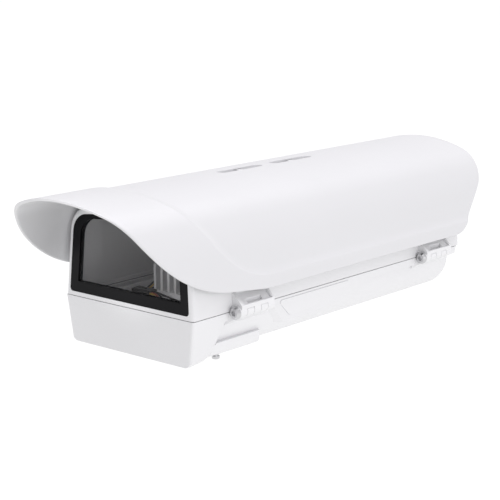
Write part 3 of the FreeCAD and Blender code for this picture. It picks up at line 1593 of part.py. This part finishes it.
def heater_leads():
    """Leads from the connector's end to the thermostat, bowed towards the window."""
    x = size("connector_across") + size("connector_length") / 2
    z = TRAY_TOP + size("connector_height") / 2
    end_x = size("thermostat_across") - size("thermostat_length") / 2 + size("lead_entry_depth") - 0.2
    names = ["lead_heater_yellow", "lead_heater_red", "lead_heater_black_1", "lead_heater_black_2"]
    routes = [
        [(-15, 47.5, -3.2), (-8, 41, -4), (1, 37.5, -4.1), (11, 39, -4), (19, 43.5, -3.4)],
        [(-14.5, 50, -3), (-7, 44.5, -3.9), (2, 41.2, -4.1), (11, 42, -4), (19, 46.2, -3.3)],
        [(-14, 52, -2.9), (-6, 47.6, -3.8), (3, 45, -4.1), (12, 46, -4), (19, 49.2, -3.2)],
        [(-13.5, 55, -2.6), (-5, 54, -3.4), (4, 52.8, -4), (12, 53.4, -3.9), (19, 54.4, -3.1)],
    ]
    for name, y, y_end, route in zip(names, heater_entries(), thermostat_entries(), routes):
        y += size("connector_along")
        y_end += size("thermostat_along")
        start = [(x - size("lead_entry_depth") + 0.2, y, z), (x + 4, y, z)]
        lead(name, start + route + [(end_x - 5, y_end, z), (end_x, y_end, z)])


# Build

def build():
    lower_case()
    badge_plate()
    seam_seal()
    corner_feet()
    foot_screws()
    seat_plate()
    seat_plate_screws()
    glands()
    hinge_screws()
    closing_screws()
    upper_case()
    window_gasket()
    window_glass()
    shield_spacers()
    shield_screws()
    sunshield()
    camera_tray()
    tray_screws()
    camera_screw()
    connector_block()
    connector_pins()
    heater_block()
    terminal_strip()
    strip_screws()
    thermostat()
    supply_leads()
    heater_leads()


def check():
    for obj in doc.Objects:
        if "Invalid" in obj.State or "Error" in obj.State:
            raise RuntimeError("%s: %s" % (obj.Label, obj.State))
    faulty = [obj.Label for obj in PARTS
              if obj.Shape.isNull() or not obj.Shape.isValid() or not obj.Shape.Solids]
    if faulty:
        raise RuntimeError("no valid shape: " + ", ".join(faulty))


def write():
    os.makedirs("parts", exist_ok=True)
    for obj in PARTS:
        obj.Shape.exportStep(os.path.join("parts", obj.Label + ".step"))
        print("%-24s %2d solid(s) %10.1f mm3" % (obj.Label, len(obj.Shape.Solids), obj.Shape.Volume))


build()
doc.recompute()
check()
write()
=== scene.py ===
import math

import bmesh
import bpy
import numpy as np
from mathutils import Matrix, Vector


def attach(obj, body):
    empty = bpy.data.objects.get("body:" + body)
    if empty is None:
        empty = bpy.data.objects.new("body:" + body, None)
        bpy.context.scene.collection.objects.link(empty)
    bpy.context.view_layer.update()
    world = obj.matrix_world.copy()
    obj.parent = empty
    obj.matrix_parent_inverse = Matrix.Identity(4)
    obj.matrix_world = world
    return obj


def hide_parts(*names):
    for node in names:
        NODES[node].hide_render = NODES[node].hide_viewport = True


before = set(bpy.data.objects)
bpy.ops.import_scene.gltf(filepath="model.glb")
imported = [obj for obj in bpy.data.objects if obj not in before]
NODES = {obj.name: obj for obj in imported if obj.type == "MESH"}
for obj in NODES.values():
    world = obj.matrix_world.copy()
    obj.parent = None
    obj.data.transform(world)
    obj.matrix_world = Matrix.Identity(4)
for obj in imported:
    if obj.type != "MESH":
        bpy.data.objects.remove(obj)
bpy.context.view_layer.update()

# Looks of the outdoor camera housing. Metres, in the model's own frame: the window faces -Y,
# the hinges are at +X, and everything stands on the plane z = 0.


def link_to_scene(obj):
    bpy.context.scene.collection.objects.link(obj)


def aim(obj, place, target):
    """Put a light at a place and turn it towards its target."""
    obj.location = place
    toward = Vector(target) - Vector(place)
    obj.rotation_euler = toward.to_track_quat("-Z", "Y").to_euler()


# Camera at the viewing angle of the photograph

AZIMUTH = 40.46
ELEVATION = 12.30
CAMERA_PLACE = (0.79004, -1.04876, 0.32832)
SENSOR = 36.0
LENS = 103.73
CLIP_START = 0.05
CLIP_END = 20.0


def make_camera():
    data = bpy.data.cameras.new("camera")
    data.sensor_width = SENSOR
    data.lens = LENS
    data.clip_start = CLIP_START
    data.clip_end = CLIP_END
    camera = bpy.data.objects.new("camera", data)
    camera.location = CAMERA_PLACE
    camera.rotation_euler = (math.radians(90.0 - ELEVATION), 0.0, math.radians(AZIMUTH))
    link_to_scene(camera)
    bpy.context.scene.camera = camera


# Materials. The noise that drives colour and roughness stays between these two values, so neither
# is cut off anywhere. Roughness on the large surfaces stays above 0.28, because lower down the
# denoiser draws the line where it passes 0.27.

NOISE_LOW = 0.1
NOISE_HIGH = 0.9
DRAWN_LINES = (1.0, 1.0, 18.0)


class Nodes:
    """A material's node tree, with short calls for the nodes used here."""

    def __init__(self, name):
        self.material = bpy.data.materials.new(name)
        self.material.use_nodes = True
        self.tree = self.material.node_tree
        self.shader = self.tree.nodes["Principled BSDF"]

    def add(self, kind, **values):
        node = self.tree.nodes.new(kind)
        for key, value in values.items():
            if key in node.inputs:
                node.inputs[key].default_value = value
            else:
                setattr(node, key, value)
        return node

    def link(self, out_socket, in_socket):
        self.tree.links.new(out_socket, in_socket)

    def noise(self, scale, detail=3.0, roughness=0.5, stretch=None):
        """Noise in object space, in cycles per metre, so it keeps its size on every piece."""
        place = self.add("ShaderNodeTexCoord")
        mapping = self.add("ShaderNodeMapping")
        if stretch:
            mapping.inputs["Scale"].default_value = stretch
        self.link(place.outputs["Object"], mapping.inputs["Vector"])
        noise = self.add("ShaderNodeTexNoise", Scale=scale, Detail=detail, Roughness=roughness)
        self.link(mapping.outputs["Vector"], noise.inputs["Vector"])
        return noise.outputs["Fac"]

    def ramp(self, source, low, high):
        """Colour between low and high as the noise rises."""
        ramp = self.add("ShaderNodeValToRGB")
        for element, position, colour in zip(ramp.color_ramp.elements, (NOISE_LOW, NOISE_HIGH),
                                             (low, high)):
            element.position = position
            element.color = (*colour, 1.0)
        self.link(source, ramp.inputs["Fac"])
        return ramp.outputs["Color"]

    def spread(self, source, low, high):
        """Number between low and high as the noise rises."""
        span = self.add("ShaderNodeMapRange")
        span.inputs["From Min"].default_value = NOISE_LOW
        span.inputs["From Max"].default_value = NOISE_HIGH
        span.inputs["To Min"].default_value = low
        span.inputs["To Max"].default_value = high
        self.link(source, span.inputs["Value"])
        return span.outputs["Result"]

    def bump(self, source, strength, distance, onto=None):
        bump = self.add("ShaderNodeBump", Strength=strength, Distance=distance)
        self.link(source, bump.inputs["Height"])
        if onto is not None:
            self.link(onto, bump.inputs["Normal"])
        return bump.outputs["Normal"]

    def surface(self, colour=None, roughness=None, normal=None):
        sources = {"Base Color": colour, "Roughness": roughness, "Normal": normal}
        for socket, source in sources.items():
            if source is not None:
                self.link(source, self.shader.inputs[socket])


def powder_coat(name, low, high, roughness):
    """Sprayed finish: faint cloudiness, orange peel a millimetre or two across, fine grain."""
    m = Nodes(name)
    cloud = m.noise(14.0, 4.0)
    peel = m.noise(620.0, 2.0)
    grain = m.noise(2600.0, 2.0)
    normal = m.bump(peel, 0.12, 0.0004)
    normal = m.bump(grain, 0.072, 0.0001, normal)
    gloss = m.spread(cloud, roughness - 0.05, roughness + 0.05)
    m.surface(m.ramp(cloud, low, high), gloss, normal)
    m.shader.inputs["Specular IOR Level"].default_value = 0.45
    return m.material


def moulded_plastic(name, low, high, roughness, specular=0.5):
    """Moulded plastic: almost even colour, with a very fine spark-eroded texture."""
    m = Nodes(name)
    cloud = m.noise(9.0, 3.0)
    texture = m.noise(1500.0, 3.0)
    sink = m.noise(22.0, 1.0)
    normal = m.bump(sink, 0.03, 0.0012)
    normal = m.bump(texture, 0.06, 0.00008, normal)
    gloss = m.spread(cloud, roughness - 0.04, roughness + 0.05)
    m.surface(m.ramp(cloud, low, high), gloss, normal)
    m.shader.inputs["Specular IOR Level"].default_value = specular
    return m.material


def bare_metal(name, low, high, roughness, metallic=1.0):
    """Machined or drawn metal with fine lines one way and a little wear in its gloss."""
    m = Nodes(name)
    lines = m.noise(420.0, 4.0, stretch=DRAWN_LINES)
    wear = m.noise(60.0, 4.0)
    m.shader.inputs["Metallic"].default_value = metallic
    m.surface(m.ramp(wear, low, high), m.spread(lines, roughness - 0.08, roughness + 0.1),
              m.bump(lines, 0.15, 0.0001))
    return m.material


def rubber(name, low, high):
    m = Nodes(name)
    cloud = m.noise(40.0, 4.0)
    pores = m.noise(1800.0, 3.0)
    m.surface(m.ramp(cloud, low, high), m.spread(cloud, 0.55, 0.7), m.bump(pores, 0.2, 0.0001))
    return m.material


def clear_glass(name):
    """Coated glass: clear, with little reflection and a trace of unevenness in its gloss."""
    m = Nodes(name)
    film = m.noise(8.0, 2.0)
    m.shader.inputs["Alpha"].default_value = 0.12
    m.shader.inputs["IOR"].default_value = 1.45
    m.surface(m.ramp(film, (0.05, 0.05, 0.052), (0.07, 0.07, 0.072)), m.spread(film, 0.02, 0.05))
    return m.material


def assign(material, *names):
    for name in names:
        slots = NODES[name].data.materials
        if len(slots) == 0:
            slots.append(material)
        for i in range(len(slots)):
            slots[i] = material


def starting_with(*starts):
    return [name for name in NODES if name.startswith(starts)]


def dress_nodes():
    white = powder_coat("case_paint", (0.74, 0.74, 0.75), (0.775, 0.775, 0.785), 0.42)
    shield = moulded_plastic("shield_plastic", (0.655, 0.655, 0.665), (0.675, 0.675, 0.685), 0.33)
    border = moulded_plastic("window_border", (0.004, 0.004, 0.005), (0.007, 0.007, 0.008), 0.32,
                             specular=0.1)
    foot = moulded_plastic("foot_plastic", (0.755, 0.755, 0.765), (0.785, 0.785, 0.795), 0.45)
    badge = moulded_plastic("badge_plastic", (0.745, 0.745, 0.755), (0.775, 0.775, 0.785), 0.4)
    gland = moulded_plastic("gland_plastic", (0.42, 0.43, 0.44), (0.48, 0.49, 0.50), 0.5)
    black = moulded_plastic("connector_plastic", (0.012, 0.012, 0.013), (0.022, 0.022, 0.023), 0.4)
    cream = moulded_plastic("terminal_plastic", (0.72, 0.71, 0.68), (0.78, 0.77, 0.74), 0.45)
    plate = powder_coat("plate_metal", (0.80, 0.80, 0.81), (0.84, 0.84, 0.85), 0.45)
    steel = bare_metal("screw_steel", (0.50, 0.50, 0.51), (0.68, 0.68, 0.69), 0.3)
    aluminium = bare_metal("heater_aluminium", (0.84, 0.84, 0.85), (0.92, 0.92, 0.93), 0.45,
                           metallic=0.5)
    brass = bare_metal("pin_brass", (0.72, 0.68, 0.58), (0.82, 0.79, 0.72), 0.25)
    seal = rubber("seal_rubber", (0.05, 0.05, 0.05), (0.075, 0.075, 0.075))
    assign(white, "lower_case", "upper_case")
    assign(shield, "sunshield")
    make_sunshield(shield)
    assign(border, "window_gasket")
    assign(clear_glass("window_glass"), "window_glass")
    assign(foot, *starting_with("corner_foot"))
    assign(badge, "badge_plate")
    assign(gland, *starting_with("gland_body", "gland_cap", "gland_nut"))
    assign(seal, "seam_seal", *starting_with("gland_seal"))
    assign(black, "connector_block", "thermostat")
    assign(cream, "terminal_strip")
    assign(plate, "camera_tray", "seat_plate")
    assign(aluminium, "heater_block", "camera_screw", *starting_with("shield_spacer"))
    assign(brass, "connector_pins")
    assign(steel, "foot_screws", "seat_plate_screws", "tray_screws", "strip_screws",
           *starting_with("hinge_screw", "closing_screw", "shield_screw"))
    leads = {"black": ((0.012, 0.012, 0.012), (0.02, 0.02, 0.02)),
             "yellow": ((0.42, 0.27, 0.05), (0.50, 0.33, 0.07)),
             "red": ((0.33, 0.07, 0.05), (0.42, 0.10, 0.07))}
    for colour, (low, high) in leads.items():
        sheath = moulded_plastic("lead_" + colour, low, high, 0.34)
        names = [n for n in starting_with("lead_") if colour in n]
        assign(sheath, *names)
        for name, length, route in LEADS:
            if name in names:
                make_lead(name, route, sheath)


# Sunshield: one moulded arch. Its section and side view repeat the solid's sizes, in millimetres
# from the case's own datum, and its sunken panel is joined to the band round it by a soft step.

MM = 0.001
CASE = (0.0, -0.272, 0.041)

CROWN_ARC = (0.0, -41.1, 138.0, 0.0, 20.0, 17)
SHOULDER_ARC = (35.23, 55.69, 35.0, 20.0, 60.0, 16)
FLANK_ARC = (-8.94, 30.19, 86.0, 60.0, 79.2, 14)
STRAIGHT_STEPS = ((0.0, 0.44, 6), (0.44, 0.7147, 9), (0.7147, 0.7468, 1), (0.7468, 0.9, 6),
                  (0.9, 1.0, 10))
SHIELD_WALL = 2.5
RIM = 1.1
RIM_STEPS = 6
RIM_FULLNESS = 2.6
EDGE = 14.0
OUTLINE = ((-84.9, 111.9, 0.0), (-21.57, 24.78, 124.0), (78.0, 14.0, 150.0), (365.41, 14.0, 30.0),
           (411.5, 62.4, 29.0), (411.5, 111.9, 0.0))
PANEL_CORNER = (47.5, 24.2)
PANEL_SLOPE = math.radians(52.0)
PANEL_RADIUS = 80.0
STEP_DEPTH = 2.0
STEP_WIDTH = 8.0
ROWS = (26, 1, 14, 80)
CHANNELS = (136.0, 204.0)
BOSS = ((6.9, 89.3), (7.32, 89.48), (7.5, 89.9), (7.5, 93.4))
CHANNEL = ((3.7, 91.7), (4.27, 91.93), (4.5, 92.5), (4.58, 93.9), (4.68, 94.35), (4.95, 94.68),
           (5.35, 94.82), (5.9, 94.95), (5.9, 99.0))
SLOT = ((2.3, 85.0), (2.3, 91.25), (2.39, 91.5), (2.62, 91.68), (3.0, 91.75), (3.0, 91.9))
BOSS_REACH = 22.5
CHANNEL_REACH = 22.5
SLOT_REACH = 18.3
END_STEPS = 20
CORNER_STEPS = 28
SHARP_ANGLE = math.radians(38.0)


def rounded(corners):
    """Line through (y, z, radius) corners, each corner rounded by its radius."""
    points = [np.array(corners[0][:2])]
    for before, corner, after in zip(corners, corners[1:], corners[2:]):
        tip = np.array(corner[:2])
        back = np.array(before[:2]) - tip
        ahead = np.array(after[:2]) - tip
        back /= np.linalg.norm(back)
        ahead /= np.linalg.norm(ahead)
        half = math.acos(np.dot(back, ahead)) / 2
        middle = (back + ahead) / np.linalg.norm(back + ahead)
        centre = tip + middle * corner[2] / math.sin(half)
        first = tip + back * corner[2] / math.tan(half) - centre
        last = tip + ahead * corner[2] / math.tan(half) - centre
        turn = math.pi - 2 * half
        for i in range(CORNER_STEPS + 1):
            t = i / CORNER_STEPS
            arm = first * math.sin((1 - t) * turn) + last * math.sin(t * turn)
            points.append(centre + arm / math.sin(turn))
    points.append(np.array(corners[-1][:2]))
    return np.array(points)


def side_view():
    """Front and rear outlines, set back by the rim, as tables of z, y and outward y and z."""
    line = rounded(OUTLINE)
    ahead = np.gradient(line, axis=0)
    ahead /= np.linalg.norm(ahead, axis=1)[:, None]
    outward = np.stack([ahead[:, 1], -ahead[:, 0]], axis=1)
    line = line - RIM * outward
    table = np.column_stack([line[:, 1], line[:, 0], outward])
    low = np.flatnonzero(line[:, 1] < EDGE + RIM + 1e-4)
    return table[:low[0] + 1][::-1], table[low[-1]:]


def at_height(table, z):
    """Place along the housing and outward direction of an outline at the heights z."""
    y, out_y, out_z = [np.interp(z, table[:, 0], table[:, i]) for i in (1, 2, 3)]
    length = np.hypot(out_y, out_z)
    return y, out_y / length, out_z / length


def section(depth):
    """Columns across the housing, sunk by depth: place, height and outward normal of each."""
    columns = []
    for x, z, radius, start, end, count in (CROWN_ARC, SHOULDER_ARC, FLANK_ARC):
        for angle in np.radians(np.linspace(start, end, count, endpoint=False)):
            reach = radius - depth
            columns.append((x + reach * math.sin(angle), z + reach * math.cos(angle), angle))
    x, z, radius, _, end, _ = FLANK_ARC
    angle = math.radians(end)
    x += (radius - depth) * math.sin(angle)
    z += (radius - depth) * math.cos(angle)
    length = (z - EDGE - RIM) / math.sin(angle)
    steps = [np.linspace(a, b, n, endpoint=False) for a, b, n in STRAIGHT_STEPS]
    for t in [*np.concatenate(steps), 1.0]:
        columns.append((x + t * length * math.cos(angle), z - t * length * math.sin(angle), angle))
    right = np.array(columns)
    left = right[1:][::-1] * (-1, 1, -1)
    both = np.concatenate([left, right])
    return both[:, 0], both[:, 1], np.sin(both[:, 2]), np.cos(both[:, 2])


def sunk(y, z):
    """Depth of the surface below the outer band: a crisp edge, then a hollow blend to the panel."""
    along = y - PANEL_CORNER[0]
    above = z - PANEL_CORNER[1]
    sloped = along * math.sin(PANEL_SLOPE) + above * math.cos(PANEL_SLOPE)
    from_y = along - PANEL_RADIUS * math.tan(PANEL_SLOPE / 2)
    from_z = above - PANEL_RADIUS
    in_corner = (from_y < 0) & (from_z < from_y / math.tan(PANEL_SLOPE))
    inside = np.where(in_corner, PANEL_RADIUS - np.hypot(from_y, from_z), np.minimum(sloped, above))
    t = np.clip(inside / STEP_WIDTH, 0.0, 1.0)
    return STEP_DEPTH * (1 - (1 - t) ** 2)


def panel_start(z):
    """Place along the housing where the step begins, at the heights z."""
    back = 100.0 / math.tan(PANEL_SLOPE)
    line = rounded(((PANEL_CORNER[0] - back, PANEL_CORNER[1] + 100.0, 0.0),
                    (*PANEL_CORNER, PANEL_RADIUS), (400.0, PANEL_CORNER[1], 0.0)))[:-1]
    return np.interp(z, line[::-1, 1], line[::-1, 0])


def shield_sheet(depth, front, rear):
    """Points of the surface at this depth below the outer one, as an array columns by rows."""
    level = section(0.0)[1]
    x, z, normal_x, normal_z = section(depth)
    first = at_height(front, z)[0]
    last = at_height(rear, z)[0]
    last = at_height(rear, z - sunk(last, level) * normal_z)[0]
    step = np.clip(panel_start(level), first + 4.0, last - 60.0)
    marks = (first, step - 1.0, step, step + 12.0, last)
    rows = []
    for start, end, count in zip(marks, marks[1:], ROWS):
        rows += [start + (end - start) * i / count for i in range(count)]
    y = np.stack([*rows, last], axis=1)
    drop = sunk(y, level[:, None])
    x = x[:, None] - drop * normal_x[:, None]
    z = z[:, None] - drop * normal_z[:, None]
    return np.stack([x, y, z], axis=2)


def shield_rim(outer, inner, front, rear):
    """Rings of a rounded rim between the two sheets, and the grid places that they start from."""
    columns, rows = outer.shape[:2]
    _, _, normal_x, normal_z = section(0.0)
    loop = [(k, 0, front) for k in range(columns)]
    loop += [(columns - 1, j, None) for j in range(1, rows)]
    loop += [(k, rows - 1, rear) for k in range(columns - 2, -1, -1)]
    loop += [(0, j, None) for j in range(rows - 2, 0, -1)]
    rings = []
    for k, j, table in loop:
        a = outer[k, j]
        b = inner[k, j]
        out_y, out_z = (0.0, -1.0) if table is None else at_height(table, a[2])[1:]
        lean = out_z * normal_z[k]
        outward = np.array([-lean * normal_x[k], out_y, out_z - lean * normal_z[k]])
        outward *= RIM / np.dot(outward, outward)
        ring = []
        for i in range(1, RIM_STEPS):
            angle = math.pi * i / RIM_STEPS
            power = 2 / RIM_FULLNESS
            side = math.copysign(abs(math.cos(angle)) ** power, math.cos(angle))
            ring.append((a + b) / 2 + (a - b) / 2 * side + outward * math.sin(angle) ** power)
        rings.append(ring)
    return [(k, j) for k, j, _ in loop], np.array(rings)


def placed(points):
    """Points in millimetres from the case's datum, as metres in the model's frame."""
    return np.asarray(points, float) * MM + CASE


def make_mesh(name, points, faces):
    """Object with this mesh, its faces turned outwards."""
    mesh = bpy.data.meshes.new(name)
    mesh.from_pydata([tuple(p) for p in placed(points)], [], faces)
    shape = bmesh.new()
    shape.from_mesh(mesh)
    bmesh.ops.recalc_face_normals(shape, faces=shape.faces)
    shape.to_mesh(mesh)
    shape.free()
    obj = bpy.data.objects.new(name, mesh)
    link_to_scene(obj)
    return obj


def shield_shell():
    """Closed arch: an outer and an inner sheet joined by a rounded rim."""
    front, rear = side_view()
    outer = shield_sheet(0.0, front, rear)
    inner = shield_sheet(SHIELD_WALL, front, rear)
    loop, rings = shield_rim(outer, inner, front, rear)
    columns, rows = outer.shape[:2]
    sheet = columns * rows
    faces = []
    for k in range(columns - 1):
        for j in range(rows - 1):
            a = k * rows + j
            quad = (a, a + 1, a + rows + 1, a + rows)
            faces.append(quad)
            faces.append(tuple(sheet + v for v in reversed(quad)))
    between = RIM_STEPS - 1
    strips = []
    for i, (k, j) in enumerate(loop):
        ring = [2 * sheet + i * between + n for n in range(between)]
        strips.append([k * rows + j, *ring, sheet + k * rows + j])
    for here, after in zip(strips, strips[1:] + strips[:1]):
        for n in range(RIM_STEPS):
            faces.append((here[n], after[n], after[n + 1], here[n + 1]))
    points = np.concatenate([outer.reshape(-1, 3), inner.reshape(-1, 3), rings.reshape(-1, 3)])
    return make_mesh("sunshield_arch", points, faces)


def obround(name, rings, reach, y):
    """Closed upright solid with round ends along the housing, from rings of (radius, height)."""
    points = []
    for radius, height in rings:
        for end in (1, -1):
            for i in range(END_STEPS + 1):
                angle = math.pi * i / END_STEPS
                points.append((end * radius * math.cos(angle),
                               y + end * (reach + radius * math.sin(angle)), height))
    count = 2 * (END_STEPS + 1)
    faces = [tuple(range(count)), tuple(range(len(points) - count, len(points)))]
    for level in range(len(rings) - 1):
        for i in range(count):
            a = level * count + i
            b = level * count + (i + 1) % count
            faces.append((a, b, b + count, a + count))
    return make_mesh(name, points, faces)


def combine(shell, tools, operation):
    """Join or cut the shell with each tool, and delete the tools."""
    for tool in tools:
        step = shell.modifiers.new(tool.name, "BOOLEAN")
        step.operation = operation
        step.solver = "EXACT"
        step.object = tool
    depsgraph = bpy.context.evaluated_depsgraph_get()
    mesh = bpy.data.meshes.new_from_object(shell.evaluated_get(depsgraph))
    shell.modifiers.clear()
    shell.data = mesh
    for tool in tools:
        bpy.data.objects.remove(tool)


def make_sunshield(material):
    """Arch with a boss under each crown channel, then the channels and their slots cut."""
    shell = shield_shell()
    combine(shell, [obround("boss", BOSS, BOSS_REACH, y) for y in CHANNELS], "UNION")
    cutters = [obround("channel", CHANNEL, CHANNEL_REACH, y) for y in CHANNELS]
    cutters += [obround("slot", SLOT, SLOT_REACH, y) for y in CHANNELS]
    combine(shell, cutters, "DIFFERENCE")
    shell.data.materials.clear()
    shell.data.materials.append(material)
    shell.data.shade_smooth()
    shell.data.set_sharp_from_angle(angle=SHARP_ANGLE)
    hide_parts("sunshield")
    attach(shell, "shield")


# Leads inside the case: soft wires on smooth lines through the construction's route points, in
# millimetres from the case's own datum. Each ends in the connector and in its terminal.

LEAD_DIAMETER = 0.0016
LEADS = (
    ("lead_supply_black_1", 0.253,
     ((-40.44, 57.95, -2.5), (-40.44, 64.75, -2.5), (-40, 73, 3.2), (-41.5, 87, 6.6),
      (-46, 109, 2.8), (-48.5, 141, -3.4), (-47, 181, -4), (-48, 220, -3.5), (-46, 255, -4),
      (-42, 282, -3.1), (-39, 298.8, -2), (-39, 307.8, -2))),
    ("lead_supply_yellow", 0.254,
     ((-37.84, 57.95, -2.5), (-37.84, 64.75, -2.5), (-37.2, 73, 3.8), (-38, 87, 6.9),
      (-42, 110, 2.6), (-44.5, 142, -3.6), (-43, 181, -4), (-43.8, 221, -3.6), (-40, 255, -4),
      (-32.5, 281, -3.2), (-29, 298.8, -2), (-29, 307.8, -2))),
    ("lead_supply_black_2", 0.2545,
     ((-35.24, 57.95, -2.5), (-35.24, 64.75, -2.5), (-34.8, 73, 2.6), (-35.5, 87, 5.2),
      (-38.5, 109, 1.6), (-40.5, 141, -3.8), (-39, 180, -4), (-39.8, 220, -3.7), (-33, 254, -4),
      (-23.5, 281, -3), (-19, 298.8, -2), (-19, 307.8, -2))),
    ("lead_supply_red", 0.255,
     ((-32.64, 57.95, -2.5), (-32.64, 64.75, -2.5), (-31.8, 73, 0.6), (-30.5, 87, 3.6),
      (-33.5, 110, 1), (-35.5, 142, -3.9), (-34.5, 181, -4), (-35, 219, -3.6), (-26, 253, -4),
      (-14, 280, -3.2), (-9, 298.8, -2), (-9, 307.8, -2))),
    ("lead_heater_yellow", 0.063,
     ((-27.3, 51.88, -2.5), (-21.5, 51.88, -2.5), (-15, 47.5, -3.2), (-8, 41, -4), (1, 37.5, -4.1),
      (11, 39, -4), (19, 43.5, -3.4), (24.8, 47.1, -2.5), (29.8, 47.1, -2.5))),
    ("lead_heater_red", 0.062,
     ((-27.3, 53.96, -2.5), (-21.5, 53.96, -2.5), (-14.5, 50, -3), (-7, 44.5, -3.9),
      (2, 41.2, -4.1), (11, 42, -4), (19, 46.2, -3.3), (24.8, 49.7, -2.5), (29.8, 49.7, -2.5))),
    ("lead_heater_black_1", 0.061,
     ((-27.3, 56.04, -2.5), (-21.5, 56.04, -2.5), (-14, 52, -2.9), (-6, 47.6, -3.8), (3, 45, -4.1),
      (12, 46, -4), (19, 49.2, -3.2), (24.8, 52.3, -2.5), (29.8, 52.3, -2.5))),
    ("lead_heater_black_2", 0.058,
     ((-27.3, 58.12, -2.5), (-21.5, 58.12, -2.5), (-13.5, 55, -2.6), (-5, 54, -3.4), (4, 52.8, -4),
      (12, 53.4, -3.9), (19, 54.4, -3.1), (24.8, 54.9, -2.5), (29.8, 54.9, -2.5))),
)


def make_lead(name, route, material):
    """Wire on a NURBS line with the route's points as its control points."""
    data = bpy.data.curves.new(name + "_wire", "CURVE")
    data.dimensions = "3D"
    data.resolution_u = 10
    data.bevel_depth = LEAD_DIAMETER / 2
    data.bevel_resolution = 3
    data.use_fill_caps = True
    points = placed(route)
    line = data.splines.new("NURBS")
    line.points.add(len(points) - 1)
    for point, place in zip(line.points, points):
        point.co = (*place, 1.0)
    line.order_u = 3
    line.use_endpoint_u = True
    data.materials.append(material)
    wire = bpy.data.objects.new(name + "_wire", data)
    link_to_scene(wire)
    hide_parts(name)
    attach(wire, "base")


# Floor and light: a glowing white floor, an even pale sky, a wide light overhead, a smaller one
# from the hinge side, and a narrow spot through the window on what stands inside it.

FLOOR_SIZE = 30.0
FLOOR_HEIGHT = -0.0006
FLOOR_GLOW = 0.97
LIGHT_COLOUR = (0.985, 0.975, 1.0)
SKY_STRENGTH = 0.79
AREA_LIGHTS = (
    ("overhead", (0.0, 0.1, 1.6), (0.0, 0.0, 0.05), 1.8, 2.2, 18.0),
    ("side", (1.5, -0.25, 0.35), (0.0, -0.08, 0.06), 1.0, 0.6, 4.8),
)
SPOT_PLACE = (0.10, -1.10, 0.36)
SPOT_TARGET = (-0.004, -0.205, 0.060)
SPOT_ANGLE = math.radians(4.2)
SPOT_POWER = 30.0
SPOT_RADIUS = 0.03


def make_floor():
    bpy.ops.mesh.primitive_plane_add(size=FLOOR_SIZE, location=(0.0, 0.0, FLOOR_HEIGHT))
    floor = bpy.context.object
    floor.name = "floor"
    m = Nodes("floor_paper")
    m.surface(m.ramp(m.noise(3.0), (0.07, 0.07, 0.07), (0.09, 0.09, 0.09)))
    m.shader.inputs["Roughness"].default_value = 0.9
    m.shader.inputs["Specular IOR Level"].default_value = 0.0
    m.shader.inputs["Emission Color"].default_value = (1.0, 1.0, 1.0, 1.0)
    m.shader.inputs["Emission Strength"].default_value = FLOOR_GLOW
    floor.data.materials.append(m.material)


def area_light(name, place, target, width, height, power):
    data = bpy.data.lights.new(name, "AREA")
    data.shape = "RECTANGLE"
    data.size = width
    data.size_y = height
    data.energy = power
    data.color = LIGHT_COLOUR
    light = bpy.data.objects.new(name, data)
    aim(light, place, target)
    link_to_scene(light)


def window_light():
    data = bpy.data.lights.new("window", "SPOT")
    data.energy = SPOT_POWER
    data.spot_size = SPOT_ANGLE
    data.spot_blend = 1.0
    data.shadow_soft_size = SPOT_RADIUS
    light = bpy.data.objects.new("window", data)
    aim(light, SPOT_PLACE, SPOT_TARGET)
    link_to_scene(light)


def make_light():
    world = bpy.data.worlds.new("studio")
    world.use_nodes = True
    background = world.node_tree.nodes["Background"]
    background.inputs["Color"].default_value = (*LIGHT_COLOUR, 1.0)
    background.inputs["Strength"].default_value = SKY_STRENGTH
    bpy.context.scene.world = world
    for values in AREA_LIGHTS:
        area_light(*values)
    window_light()


make_camera()
dress_nodes()
make_floor()
make_light()
bpy.context.scene.view_settings.view_transform = "Standard"
